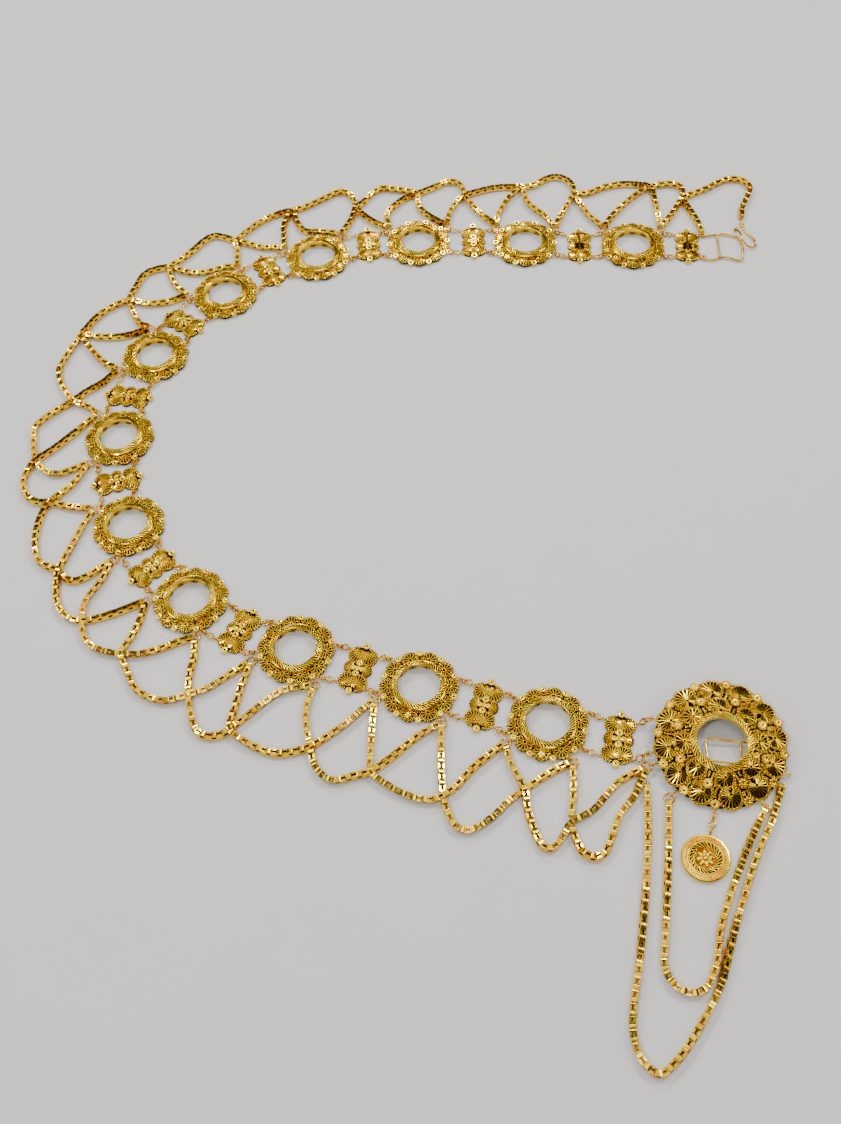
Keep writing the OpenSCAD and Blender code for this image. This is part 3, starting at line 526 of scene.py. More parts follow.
# %% [markdown]
# A medallion is a frame for a coin. From the inside out it has a bright lip, a
# cone of slanted flutes that swirls round it, and ten fans with studs between
# them. The turned collar carries the lip and the cone's sheet. The flutes are one
# bar and the fans one fan, each spun into a ring of copies.

# %% Medallion pattern
FLUTES = 50
FANS, FANS_OUT = 10, 14.8


def collar(name, wall, cone, steps):
    """A turned lip and wall round an opening, and between them a cone painted near-black as the
    shade between the flutes.
    """
    return joined(name, [lathed("collar_cone", cone, steps, painted_shade_gold, 35),
                         lathed("collar_wall", wall, steps, stud_gold, 35)])


def flutes(name, count, inner, outer, low, high, lean, radius):
    """Slanted bars that swirl round a cone."""
    piece = open_piece(name)
    start = polar(inner, 0, high)
    bar(start, polar(outer, lean, low), radius, 6, 30, radius * 1.25)
    spin_copies(count)
    return close_piece(piece, stud_gold, 70)


def ring_of(piece, count, radius, first=0):
    """Sets a pattern out on a circle and spins it into a ring of copies."""
    return spun(settle(piece, flat_turn(polar(radius, first), first)), count)


medallion_fan = fan("medallion_fan", 12, 14, -0.3, 3.1, 0.85, 0.15, 0.56, 0.25, 1.95)
medallion_fans = ring_of(medallion_fan, FANS, FANS_OUT, 90)
# painted shade: the flat ring under the fans is near-black
sheet_ring = lathed("sheet_ring", [
    (12.6, 1.1), (16.6, 1.1), (16.6, 1.4), (12.6, 1.4), (12.6, 1.1)], 40, painted_shade_gold, 40)
fan_sheets = ring_of(fan_sheet("fan_sheet", 4.35, 1.05, 1.45), FANS, FANS_OUT, 90)
medallion_studs = ring_of(stud("medallion_stud", 1.6, 1.3, 2.5, 14), FANS, 17.6, 0)
medallion_flutes = flutes("medallion_flutes", FLUTES, 10.4, 12.75, 3.75, 4.75, 14, 0.3)
medallion_collar = collar(
    "medallion_collar",
    [(10.2, 4.2), (10.2, 4.8), (10.32, 4.9), (10.45, 4.8), (10.5, 4.3), (12.6, 3.4),
     (12.65, 3.9), (12.85, 4.0), (13.3, 3.7), (13.45, 3.3), (13.45, 1.1), (12.4, 1.1),
     (12.4, 0), (11.15, 0), (11.15, 4.2), (10.2, 4.2)],
    [(10.48, 4.45), (12.63, 3.46), (12.63, 3.36), (10.48, 4.3), (10.48, 4.45)], 48)
medallion_pattern = joined("medallion_pattern", [
    medallion_collar, sheet_ring, fan_sheets, medallion_fans, medallion_studs, medallion_flutes])
print("medallion pattern:", len(medallion_pattern.data.polygons), "faces")

# %% [markdown]
# The belt's own numbers follow, in millimetres, as the CAD has them: medallion
# centres from the buckle round to the end frame, plaques with their headings, and
# the angles at which each medallion carries its joining eyelets and the two
# staples of its swags.

# %% Places of the medallions and plaques
MEDALLION_AT = [
    (47.5, -109), (-11, -84.5), (-69.5, -59), (-122, -26), (-156, 22.5), (-164.5, 81.5),
    (-147.5, 139), (-108, 183.5), (-52.5, 208), (8.5, 213.5), (72.5, 206), (136, 197)]
PLAQUE_AT = [
    (79, -119.5, -15), (18.8, -97, -22), (-39.8, -72.2, -23), (-97.4, -45.9, -34.2),
    (-142.7, -4.7, -53.1), (-164, 52.4, -79.7), (-161.3, 111.1, -103),
    (-132.2, 163.8, -127.2), (-82.2, 200.6, -156.3), (-21.6, 215.7, 181.1),
    (41.8, 211.5, 177), (104.5, 200.5, 174), (168, 193.2, 172)]
BUCKLE_AT = Vector((123.9, -127.4, 4.2))
BUCKLE_TILT = 7
INNER_EYELETS = [
    (28, 28), (28, 28), (28, 28), (29, 36), (36, 25.5), (39, 35), (31, 37), (32, 33),
    (30, 28), (29, 28), (28, 28), (28, 28)]
OUTER_EYELET = 28
DROP_ANGLES = [
    (48, 141), (42, 143), (40, 140), (39, 140), (39, 144), (39, 140), (39, 141),
    (39, 144.6), (40, 144), (39, 143), (39, 143), (40, 139)]
EYELET_OUT, EYELET_Z, EYELET_R, EYELET_WIRE, EAR_BAR = 20, 2.1, 1.0, 0.275, 0.4
DROP_OUT, DROP_Z, DROP_STAPLE_R = 19.9, 1.35, 0.95
DROP_RING_R, DROP_WIRE = 2.3, 0.5
STAPLE_X, STAPLE_Y, STAPLE_Z = 8, 9.4, 1.2
BUCKLE_EYELETS = {"inner": (32.9, 153, 0.3), "outer": (32.9, 182.5, 0.3),
                  "pendant": (32.9, 255, 1.5)}

belt_line = [BUCKLE_AT.xy, *(Vector(p) for p in MEDALLION_AT), Vector(PLAQUE_AT[12][:2])]


def angle_of(v):
    """Angle of a flat vector, in degrees."""
    return math.degrees(math.atan2(v[1], v[0]))


def heading(i):
    """Direction of medallion i towards the buckle."""
    return angle_of(belt_line[i - 1] - belt_line[i + 1])


def on_medallion(i, radius, degrees, z):
    """A point of medallion i, by radius and angle."""
    return Vector((*(belt_line[i] + polar(radius, degrees + heading(i)).xy), z))


def on_plaque(j, x, y, z):
    """A point of plaque j."""
    *at, turn = PLAQUE_AT[j - 1]
    return Vector((*(Vector(at) + Matrix.Rotation(math.radians(turn), 2) @ Vector((x, y))), z))


def on_buckle(radius, degrees, z):
    """A point of the tilted buckle."""
    tilt = Matrix.Rotation(math.radians(BUCKLE_TILT), 3, "X")
    return BUCKLE_AT + tilt @ polar(radius, degrees, z)


def eyelet_angle(i, side, away):
    """Angle of one of a medallion's four joining eyelets."""
    a = INNER_EYELETS[i - 1][away] if side > 0 else OUTER_EYELET
    return side * (180 - a if away else a)


# %% Twelve medallions
def ear(at, radius, foot, end, turn=(0, 0, 0)):
    """An eyelet or a staple, with the short bar that carries it."""
    loop(at, radius, EYELET_WIRE, 16, 6, turn)
    bar(foot, end, EAR_BAR, 8)


def medallion_ears(i):
    """The eyelets and staples that medallion i is linked by."""
    piece = open_piece("ears")
    for side in (1, -1):
        for away in (0, 1):
            a = eyelet_angle(i, side, away)
            ear(polar(EYELET_OUT, a, EYELET_Z), EYELET_R, polar(17.6, a, EYELET_Z),
                polar(EYELET_OUT - EYELET_R + 0.05, a, EYELET_Z))
    for a in DROP_ANGLES[i - 1]:
        ear(polar(DROP_OUT, -a, DROP_Z), DROP_STAPLE_R, polar(17.0, -a, 1.7),
            polar(19.05, -a, 1.7), upright(-a))
    return close_piece(piece, ring_gold, 60)


BOSSES = {1: 1.9, 2: 1.9, 4: 1.4}


def boss(radius):
    """A domed boss over the outermost fan, as a few medallions have."""
    piece = open_piece("boss")
    ball((0, -16, 2.2), (radius, radius, 0.9), 20, 10)
    return close_piece(piece, stud_gold, 60)


triangles = 0
for i in range(1, 13):
    body = copy_of(medallion_pattern, f"medallion_{i:02d}_body")
    extra = [boss(BOSSES[i])] if i in BOSSES else []
    made = joined(f"medallion_{i:02d}_filigree", [body, medallion_ears(i), *extra])
    settle(made, flat_turn((*belt_line[i], 0), heading(i)))
    triangles += show(made, f"medallion_{i:02d}")
remove(medallion_pattern)
print("twelve medallions:", triangles, "triangles")

# %% [markdown]
# A link plaque holds four fans back to back with a pinched waist. Its eyes are
# raised cones close to the tips, so the spokes sweep towards the waist. A flower
# of two large studs and small petals sits in the middle. The last two plaques
# have a ridged bar there instead.

# %% Plaque patterns
def eye_cone(at, radius, foot, top):
    """A raised cone with a pin hole, in the open piece, as the eye of a fan."""
    bpy.ops.mesh.primitive_cone_add(
        vertices=12, radius1=radius * MM, radius2=radius * 0.45 * MM, depth=(top - foot) * MM,
        location=(at[0] * MM, at[1] * MM, (foot + top) / 2 * MM))


def plaque_fan(name):
    """The fan at +X, +Y of a plaque: spokes from an eye near the tip."""
    centre, eye = Vector((2.6, 7.2, 0)), Vector((2.3, 8.3, 0))
    wires = open_piece("spokes")
    for k in range(15):
        d = polar(1, -225 + k * 270 / 14)
        far = to_circle(eye - centre, d, 3.5)
        bar(eye + d * 0.8 + Vector((0, 0, 1.7)), eye + d * far + Vector((0, 0, 1.3)), 0.14,
            end_radius=0.24)
    close_piece(wires, wire_gold, 30)
    lace = open_piece(name)
    for k in range(14):
        loop(centre + polar(4.15, -185 + k * 270 / 13, 1.3), 0.56, 0.23)
    for k in range(4):
        loop(centre + polar(2.6, 40 + k * 34, 1.35), 0.5, 0.2)
    return joined(name, [close_piece(lace, wire_gold, 120), wires])


def waist_loops(name):
    """The scrolls that fill one side of the waist."""
    piece = open_piece(name)
    for k in range(8):
        a = -98 + k * 28
        loop(Vector((3.7, 0, 1.3)) + polar(2.8, a), 0.54, 0.23)
    for k in range(9):
        a = -100 + k * 25
        bar(Vector((3.0, 0, 1.6)) + polar(0.7, a), Vector((3.7, 0, 1.3)) + polar(2.3, a), 0.16)
    loop((3.0, 0, 1.6), 0.6, 0.2, 10, 5)
    return close_piece(piece, wire_gold, 80)


def mirrored(piece, x, y):
    """A mirrored copy with its faces turned out again."""
    made = copy_of(piece, piece.name)
    settle(made, Matrix.Diagonal((x, y, 1, 1)))
    if x * y < 0:
        mode("EDIT")
        bpy.ops.mesh.select_all(action="SELECT")
        bpy.ops.mesh.normals_make_consistent(inside=False)
        mode("OBJECT")
    return made


def plaque_pattern(name, barred):
    """A whole plaque without its staples."""
    one_fan = plaque_fan("plaque_fan")
    parts = [one_fan, mirrored(one_fan, -1, 1), mirrored(one_fan, 1, -1),
             mirrored(one_fan, -1, -1)]
    one_waist = waist_loops("waist")
    parts += [one_waist, mirrored(one_waist, -1, 1)]
    # painted shade: the sheets under the fans, the waist and the middle are near-black
    sheets = open_piece("sheets")
    for k, (x, y, r) in enumerate([
            *((2.6 * x, 7.2 * y, 4.6) for y in (1, -1) for x in (1, -1)),
            (3.9, 0, 3.1), (-3.9, 0, 3.1), (0, 0, 4.1)]):
        post((x, y, 0), r, 0.8 + 0.02 * k, 26)
    parts.append(close_piece(sheets, painted_shade_gold, 30))
    eyes = open_piece("eyes")
    for x in (-1, 1):
        for y in (-1, 1):
            eye_cone((2.3 * x, 8.3 * y), 1.0, 0.8, 1.95)
    parts.append(close_piece(eyes, stud_gold, 50))
    places = [(0, 12.5, 1.75, 2.3), (0, -12.5, 1.75, 2.3)]
    if not barred:
        places += [(0, 2.95, 1.75, 2.4), (0, -2.95, 1.75, 2.4), (2.0, 0.1, 1.3, 2.2),
                   (-2.0, -0.1, 1.3, 2.2), (0, 0, 1.2, 2.35)]
    for x, y, r, top in places:
        one = stud("flower_stud", r, 0.8, top, 14)
        parts.append(settle(one, flat_turn((x, y, 0), 0)))
    if barred:
        ridge = open_piece("ridge")
        bpy.ops.mesh.primitive_cylinder_add(
            vertices=6, radius=MM, depth=13 * MM, location=(0, -1.5 * MM, 1.5 * MM),
            rotation=(math.pi / 2, 0, 0))
        bpy.ops.transform.resize(value=(0.8, 1, 1), center_override=(0, 0, 1.5 * MM))
        bpy.ops.mesh.primitive_cone_add(
            vertices=6, radius1=1.0 * MM, radius2=0.1 * MM, depth=4.5 * MM,
            location=(0, -10.2 * MM, 1.5 * MM), rotation=(math.pi / 2, 0, 0))
        ball((0, 4.2, 1.4), (1.5, 1.5, 0.9), 14, 8)
        parts.append(close_piece(ridge, stud_gold, 30))
    return joined(name, parts)


flower_plaque = plaque_pattern("flower_plaque", False)
ridged_plaque = plaque_pattern("ridged_plaque", True)
print("plaque patterns:", len(flower_plaque.data.polygons), len(ridged_plaque.data.polygons))

# %% Thirteen plaques
def eyelet_for(j, x, side):
    """The eyelet that plaque j is linked to, at its buckle end or its far end."""
    if x < 0:
        return on_medallion(j, EYELET_OUT, eyelet_angle(j, side, 0), EYELET_Z)
    if j == 1:
        return on_buckle(*BUCKLE_EYELETS["inner" if side > 0 else "outer"])
    return on_medallion(j - 1, EYELET_OUT, eyelet_angle(j - 1, side, 1), EYELET_Z)


def within_turn(a):
    """An angle brought to between -180 and 180."""
    return (a + 180) % 360 - 180


MOST_LEAN = 32


def staple_turn(j, x, side):
    """How far a staple is turned towards what it carries."""
    if j == 13 and x < 0:
        return 0
    away = eyelet_for(j, x, side) - on_plaque(j, x * STAPLE_X, side * STAPLE_Y, 0)
    a = within_turn(angle_of(away * x) - PLAQUE_AT[j - 1][2])
    return max(-MOST_LEAN, min(MOST_LEAN, 0.75 * a))


def plaque_staples(j):
    """The four upright staples of plaque j."""
    piece = open_piece("staples")
    for x in (-1, 1):
        for y in (-1, 1):
            wide = 0.3 if j == 13 and x < 0 else 0
            loop((STAPLE_X * x, STAPLE_Y * y, STAPLE_Z + wide), 0.85 + wide, 0.25, 14, 6,
                 upright(staple_turn(j, x, y)))
            bar((5.6 * x, STAPLE_Y * y, 0.95), ((7.1 - wide) * x, STAPLE_Y * y, 0.95), 0.35, 8)
    return close_piece(piece, ring_gold, 60)


triangles = 0
for j in range(1, 14):
    body = copy_of(ridged_plaque if j >= 12 else flower_plaque, f"plaque_{j:02d}_body")
    made = joined(f"link_plaque_{j:02d}_filigree", [body, plaque_staples(j)])
    x, y, turn = PLAQUE_AT[j - 1]
    settle(made, flat_turn((x, y, 0), turn))
    triangles += show(made, f"link_plaque_{j:02d}")
remove(flower_plaque, ridged_plaque)
print("thirteen plaques:", triangles, "triangles")

# %% [markdown]
# The buckle repeats the medallion's idea at twice the size, on a shallow cone:
# eight fans round a fluted collar and twelve larger ones outside them, with studs
# in the gaps. Each motif is modelled flat, laid on the cone's slope once, and spun
# round the axis. The whole is then tilted, because the real one rests on its near
# edge.

# %% Buckle
SLOPE = 12.7
COLLAR_R = 14.4
CONE_TOP = 4.6
OUTER_FANS_OUT, INNER_FANS_OUT = 25.5, 17.3


def cone_height(radius):
    """Height of the cone's face at a radius, before the tilt."""
    return CONE_TOP - (radius - COLLAR_R) * math.tan(math.radians(SLOPE))


def on_slope(piece, radius, degrees, count):
    """Lays a flat pattern on the cone and spins it into a ring."""
    lean = Matrix.Rotation(math.radians(SLOPE), 4, "Y")
    at = Matrix.Translation(Vector((radius, 0, cone_height(radius))) * MM)
    turn = Matrix.Rotation(math.radians(degrees), 4, "Z")
    return spun(settle(piece, turn @ at @ lean), count)


def buckle_shell():
    """The sunk cone that carries the filigree, painted near-black as the shade under it."""
    drop = math.tan(math.radians(SLOPE))
    return lathed("buckle_shell", [
        (13.6, 3.3), (14.4, 3.4), (29.6, 3.4 - 15.2 * drop), (29.8, 4.05 - 15.4 * drop),
        (14.4, 4.05), (13.6, 4.2), (13.6, 3.3)], 72, painted_shade_gold)


def buckle_lace():
    """Small loops wherever the cone would show between fans and rosettes."""
    taken = [(polar(radius, first + 360 * k / count), reach)
             for radius, first, count, reach in (
                 (OUTER_FANS_OUT, 0, 12, 5.15), (28.4, 15, 12, 2.2),
                 (INNER_FANS_OUT, -5, 8, 4.35), (20.5, 17.5, 8, 2.3)) for k in range(count)]
    piece = open_piece("buckle_lace")
    laid = []
    for step in range(12):
        ring_r = 15.6 + 1.2 * step
        count = int(2 * math.pi * ring_r / 1.25)
        for k in range(count):
            p = polar(ring_r, 360 * (k + 0.5 * (len(laid) % 2)) / count)
            if all((p - c).length > reach + 0.4 for c, reach in taken) and all(
                    (p - q).length > 1.05 for q in laid):
                laid.append(p)
    for p in laid:
        loop(p + Vector((0, 0, cone_height(p.length) + 0.15)), 0.46, 0.21)
    print("loops between the buckle's fans:", len(laid))
    return close_piece(piece, wire_gold, 120)


def buckle_ears():
    """Eyelets, staples and the two posts of the catch, in the floor's frame."""
    piece = open_piece("buckle_ears")
    for place in BUCKLE_EYELETS.values():
        eye = on_buckle(*place)
        outward = Vector((*(eye.xy - BUCKLE_AT.xy).normalized(), 0))
        ear(eye, 1.2, eye - outward * 3.8, eye - outward * 1.15)
    far_turn = angle_of(RIGHT_LINK_END.xy - far_right_staple.xy)
    for at, a, bar_z, short in (
            (a0_staple, A0_WAY, 3.4, -0.3), (left_staple, LEFT_WAY, 1.9, 0.75),
            (right_staple, RIGHT_WAY, 1.4, 0.85), (far_right_staple, far_turn, 2.6, -0.1)):
        outward = (at.xy - BUCKLE_AT.xy).normalized()
        ear(at, DROP_STAPLE_R, (*(at.xy - outward * 3.6), bar_z),
            (*(at.xy - outward * short), bar_z), upright(a))
    for p in catch_posts:
        post((p.x, p.y, 1.6), 1.4, 5.9)
    return close_piece(piece, ring_gold, 60)


# %% Where the buckle carries its chains and its catch
def flat_from_buckle(radius, degrees, z):
    """A point level with the floor at a radius from the buckle's centre."""
    return Vector((*(BUCKLE_AT.xy + polar(radius, degrees).xy), z))


A0_WAY, LEFT_WAY, RIGHT_WAY = 191.5, 220, -64
RIGHT_RING_R = 1.6
a0_staple, a0_ring = (flat_from_buckle(33 + r, A0_WAY, 2.2) for r in (0, DROP_RING_R))
left_staple, left_ring = (flat_from_buckle(32.6 + r, LEFT_WAY, 1.4) for r in (0, DROP_RING_R))
right_staple, right_ring = (
    flat_from_buckle(32.4 + r, RIGHT_WAY, 1.4) for r in (0, RIGHT_RING_R))
far_right_staple = flat_from_buckle(33, -29.7, 1.6)
RIGHT_LINK_END = Vector((147.2, -149.6, 1.6))
CATCH_Z = 3.0
CATCH_WAY = Vector((0.98, -0.2, 0))
catch_left = [Vector((118.0, -123.1, CATCH_Z)), Vector((117.2, -134.1, CATCH_Z))]
catch_right = [catch_left[0] + 22 * CATCH_WAY, catch_left[1] + 21 * CATCH_WAY]
catch_cross = [catch_left[0] + 16 * CATCH_WAY, catch_left[1] + 15 * CATCH_WAY]
catch_posts = [catch_right[0].lerp(catch_right[1], t) for t in (0.27, 0.73)]

# %% Build the buckle
outer_fan = fan("outer_fan", 17, 20, -1.6, 4.4, 0.8, 0.14, 0.58, 0.23, 0.35, 310, 340, 0.9)
inner_fan = fan("inner_fan", 14, 17, -0.9, 3.6, 0.75, 0.14, 0.56, 0.23, 0.35, 360, 360, 0.7)
buckle_parts = [
    collar("buckle_collar",
           [(11.2, 2.9), (11.2, 5.5), (11.32, 5.65), (11.5, 5.5), (11.55, 5.0), (14.0, 4.3),
            (14.05, 4.85), (14.25, 4.95), (14.5, 4.7), (14.5, 3.6), (11.2, 2.9)],
           [(11.52, 5.35), (14.03, 4.55), (14.03, 4.3), (11.52, 5.0), (11.52, 5.35)], 64),
    buckle_shell(),
    on_slope(fan_sheet("outer_sheet", 5.3, -1.1, -0.35), OUTER_FANS_OUT, 0, 12),
    on_slope(outer_fan, OUTER_FANS_OUT, 0, 12),
    on_slope(inner_fan, INNER_FANS_OUT, -5, 8),
    on_slope(rosette_stud("outer_rosette", 2.4, -1.0, 1.2), 28.4, 15, 12),
    on_slope(rosette_stud("inner_rosette", 2.5, -1.0, 1.4), 20.5, 17.5, 8),
    buckle_lace(),
    flutes("buckle_flutes", 52, 11.4, 14.15, 4.7, 5.5, 15, 0.32),
]
buckle_body = joined("buckle_body", buckle_parts)
tilt = Matrix.Translation(BUCKLE_AT * MM) @ Matrix.Rotation(math.radians(BUCKLE_TILT), 4, "X")
settle(buckle_body, tilt)
dress("buckle", "buckle_filigree", [buckle_body, buckle_ears()])

# %% [markdown]
# Bent wire is a curve with a round bevel, made a mesh at once so that it can be
# joined like the rest. The catch, the end frame and the hook are
# such wires, and so are their eyes.

# %% Bent wires
SAMPLES = 6


def smooth(points):
    """A Catmull-Rom curve through the points, six samples a span."""
    out = []
    for i in range(len(points) - 1):
        a, b, c, d = (points[max(0, min(len(points) - 1, i + n))] for n in (-1, 0, 1, 2))
        for s in range(SAMPLES):
            t = s / SAMPLES
            out.append(0.5 * (2 * b + (c - a) * t + (2 * a - 5 * b + 4 * c - d) * t * t
                              + (3 * b - a - 3 * c + d) * t ** 3))
    return [*out, points[-1]]


def new_path(points):
    """A curve object with one straight-sided spline through points in millimetres."""
    calm()
    bpy.ops.curve.primitive_nurbs_path_add()
    path = bpy.context.object
    path.data.splines.clear()
    spline = path.data.splines.new("POLY")
    spline.points.add(len(points) - 1)
    for knot, p in zip(spline.points, points):
        knot.co = (*(Vector(p) * MM), 1)
    return path, spline


def bent_wire(name, points, radius, closed=False, around=3):
    """A round wire through points in millimetres, as a mesh."""
    path, spline = new_path(points)
    path.name = name
    spline.use_cyclic_u = closed
    path.data.bevel_depth = radius * MM
    path.data.bevel_resolution = around
    path.data.use_fill_caps = not closed
    path.data.twist_mode = "MINIMUM"
    bpy.ops.object.convert(target="MESH")
    bpy.ops.object.shade_smooth()
    path.data.materials.clear()
    path.data.materials.append(ring_gold)
    return path


def rounded(corners, cut):
    """Corners of a closed route, each turned in seven short steps."""
    out = []
    for k, p in enumerate(corners):
        a = (corners[k - 1] - p).normalized() * cut
        b = (corners[(k + 1) % len(corners)] - p).normalized() * cut
        out += [p + a * (1 - t / 6) ** 2 + b * (t / 6) ** 2 for t in range(7)]
    return out


catch_loop = bent_wire("catch_loop", rounded(
    [catch_right[0], catch_left[0], catch_left[1], catch_right[1]], 2.2), 0.5, True)
catch_bar = bent_wire("catch_bar", [catch_cross[1], catch_cross[0]], 0.5)
dress("buckle_catch", "buckle_catch_wire", [catch_loop, catch_bar])

SHEET = Vector((5, 353, 0))
FRAME_Z = 1.35
FRAME_EYE_R = 1.2


def from_sheet(points, z):
    """Points read off the layout sheet, carried to the belt's frame."""
    return [Vector((p[0], p[1], z)) - SHEET for p in points]


def eye_turn(centre, start, sweep):
    """Points round an eye of the end frame."""
    return [centre + polar(FRAME_EYE_R, start + sweep * k / 8) for k in range(9)]


frame_eye_inner = on_plaque(13, -STAPLE_X - FRAME_EYE_R, STAPLE_Y, FRAME_Z)
frame_eye_outer = on_plaque(13, -STAPLE_X - FRAME_EYE_R, -STAPLE_Y, FRAME_Z)
FRAME_SHEET = [
    (183.4, 533.7), (186, 533.2), (190, 534.5), (195, 534), (198, 532), (201, 531),
    (203, 532), (204, 537), (205, 541), (204.5, 547), (203.6, 550), (200, 552), (195, 554),
    (192, 553.6), (188, 553.4)]
frame_wire = bent_wire("frame_wire", smooth([
    *eye_turn(frame_eye_inner, 20, 250),
    *from_sheet(FRAME_SHEET, FRAME_Z),
    *eye_turn(frame_eye_outer, -90, -250)]), 0.6, around=2)
frame_bar = bent_wire("frame_bar", [(187, 200.6, FRAME_Z), (185.2, 181.6, FRAME_Z)], 0.56)
dress("end_frame", "end_frame_wire", [frame_wire, frame_bar])

HOOK_ROUTE = [
    (199, 204, 1.4), (200.2, 201.5, 1.9), (200.6, 198.5, 2.8), (200.6, 194, 3.1),
    (201, 190.5, 3.0), (202.4, 188.6, 2.6), (204.4, 187.7, 1.8), (206.4, 188, 1.3),
    (208.2, 190, 1.2), (208.4, 193, 1.2), (207, 196.6, 1.2), (205.2, 200.4, 1.2),
    (203.6, 204, 1.2), (203.3, 205.9, 1.3)]
HOOK_EYE = Vector((203.2, 207.2, 1.45))
HOOK_LINK_END = Vector((204.2, 213.6, 1.45))
hook_wire = bent_wire("hook_wire", smooth([Vector(p) for p in HOOK_ROUTE]), 0.6, around=2)
hook_tips = open_piece("hook_tips")
loop(HOOK_EYE, 1.3, 0.5, 20, 8)
ball(HOOK_ROUTE[0], (1.25, 1.25, 1.25), 16, 10)
dress("hook", "hook_wire", [hook_wire, close_piece(hook_tips, ring_gold, 60)])

# %% [markdown]
# Jump rings are plain tori. The pairs follow the CAD's places, between the plaque's
# staple and the medallion's eyelet. Each ring lies at the far end of its share of
# the way, or, where there is little room, the two rise in a peak. End links are
# small rings of the same kind where the chains begin and end.

# %% Rings and end links
JOINT_R, JOINT_WIRE = 1.45, 0.47


def ring(at, radius, wire, turn=(0, 0, 0)):
    """A round ring in the open piece."""
    loop(at, radius, wire, 20, 8, turn)


def far_ring(start, end, half, across, wire):
    """A ring at the far end of the way between two points, as its own object."""
    start, end = Vector(start), Vector(end)
    along = (end - start).normalized()
    side = (Vector(across) - along * along.dot(Vector(across))).normalized()
    half = min(half, (end - start).length / 2)
    calm()
    bpy.ops.mesh.primitive_torus_add(major_radius=half * MM, minor_radius=wire * MM,
                                     major_segments=20, minor_segments=8)
    link = bpy.context.object
    bpy.ops.object.shade_smooth()
    link.data.materials.append(ring_gold)
    axes = Matrix((along, side, along.cross(side))).transposed().to_4x4()
    return settle(link, Matrix.Translation((end - along * half) * MM) @ axes)


def upright_ring(at, radius, wire, degrees):
    """A round ring that stands in a vertical plane, as its own object."""
    piece = open_piece("upright_ring")
    ring(at, radius, wire, upright(degrees))
    return close_piece(piece, ring_gold, 60)


def joint(staple, eyelet):
    """The two rings between a staple and an eyelet."""
    u = Vector((*(eyelet - staple).xy.normalized(), 0))
    side = Vector((-u.y, u.x, 0))
    far = (eyelet - staple).length
    slack = 1.03
    if far >= 4 * JOINT_R - slack:
        line = (eyelet - staple).normalized()
        each = (far + slack) / 2
        half = 1.7 if eyelet.z - staple.z > 3 else JOINT_R
        return [far_ring(staple, staple + line * each, JOINT_R, side, JOINT_WIRE),
                far_ring(eyelet - line * each, eyelet, half, (0, 0, 1), JOINT_WIRE)]
    reach = 2 * JOINT_R + 0.42
    lean = math.acos((far * far + JOINT_R * JOINT_R - reach * reach) / (2 * far * JOINT_R))
    climb = lean - math.asin((eyelet.z - staple.z) / far)
    centre = eyelet + JOINT_R * Vector((-u.x * math.cos(climb), -u.y * math.cos(climb),
                                        math.sin(climb)))
    first = (centre - staple).normalized()
    return [far_ring(staple, staple + 2 * JOINT_R * first, JOINT_R, side, JOINT_WIRE),
            upright_ring(centre, JOINT_R, JOINT_WIRE, angle_of(u))]


for side, label in ((1, "inner"), (-1, "outer")):
    pairs = []
    for j in range(1, 14):
        for x in (1, -1):
            if j == 13 and x < 0:
                continue
            staple = on_plaque(j, STAPLE_X * x, STAPLE_Y * side, STAPLE_Z)
            pairs += joint(staple, eyelet_for(j, x, side))
    print(label, "rings:", len(pairs))
    dress(f"joint_rings_{label}", f"joint_rings_{label}_pairs", pairs)


def ring_centre(k):
    """Centre of the ring that carries the end of a swag."""
    if k == 0:
        return a0_ring
    i = math.ceil(k / 2)
    return on_medallion(i, DROP_OUT + DROP_RING_R, -DROP_ANGLES[i - 1][(k + 1) % 2], DROP_Z)


drops = open_piece("drop_rings_round")
for k in range(25):
    ring(ring_centre(k), DROP_RING_R, DROP_WIRE)
ring(left_ring, DROP_RING_R, DROP_WIRE)
ring(right_ring, RIGHT_RING_R, JOINT_WIRE)
dress("drop_rings", "drop_rings_round", [close_piece(drops, ring_gold, 60)])

# %% [markdown]
# The chain is a rounded box chain. Each link is a short band bent into a squarish
# loop, and every second link is turned a quarter, so from above a broad pillow
# alternates with an open link seen on edge. One band is a bevelled block with its
# two sides taken off, squashed to the size of a link and given a wall whose inside
# is painted near-black: in part the duller unpolished inside, but mostly painted
# shade in the link holes. Two arrays repeat it, one for each direction, and a Curve
# modifier lays the row along the swag's route.

# %% One link of the chain
LINK_LONG, LINK_TALL, LINK_WIDE, LINK_WALL = 4.3, 4.5, 4.2, 0.95
LINK_BEVEL = 1.1
LINK_SQUASH = (0.9, 0.6, 0.68)
PITCH_MM = 2.6


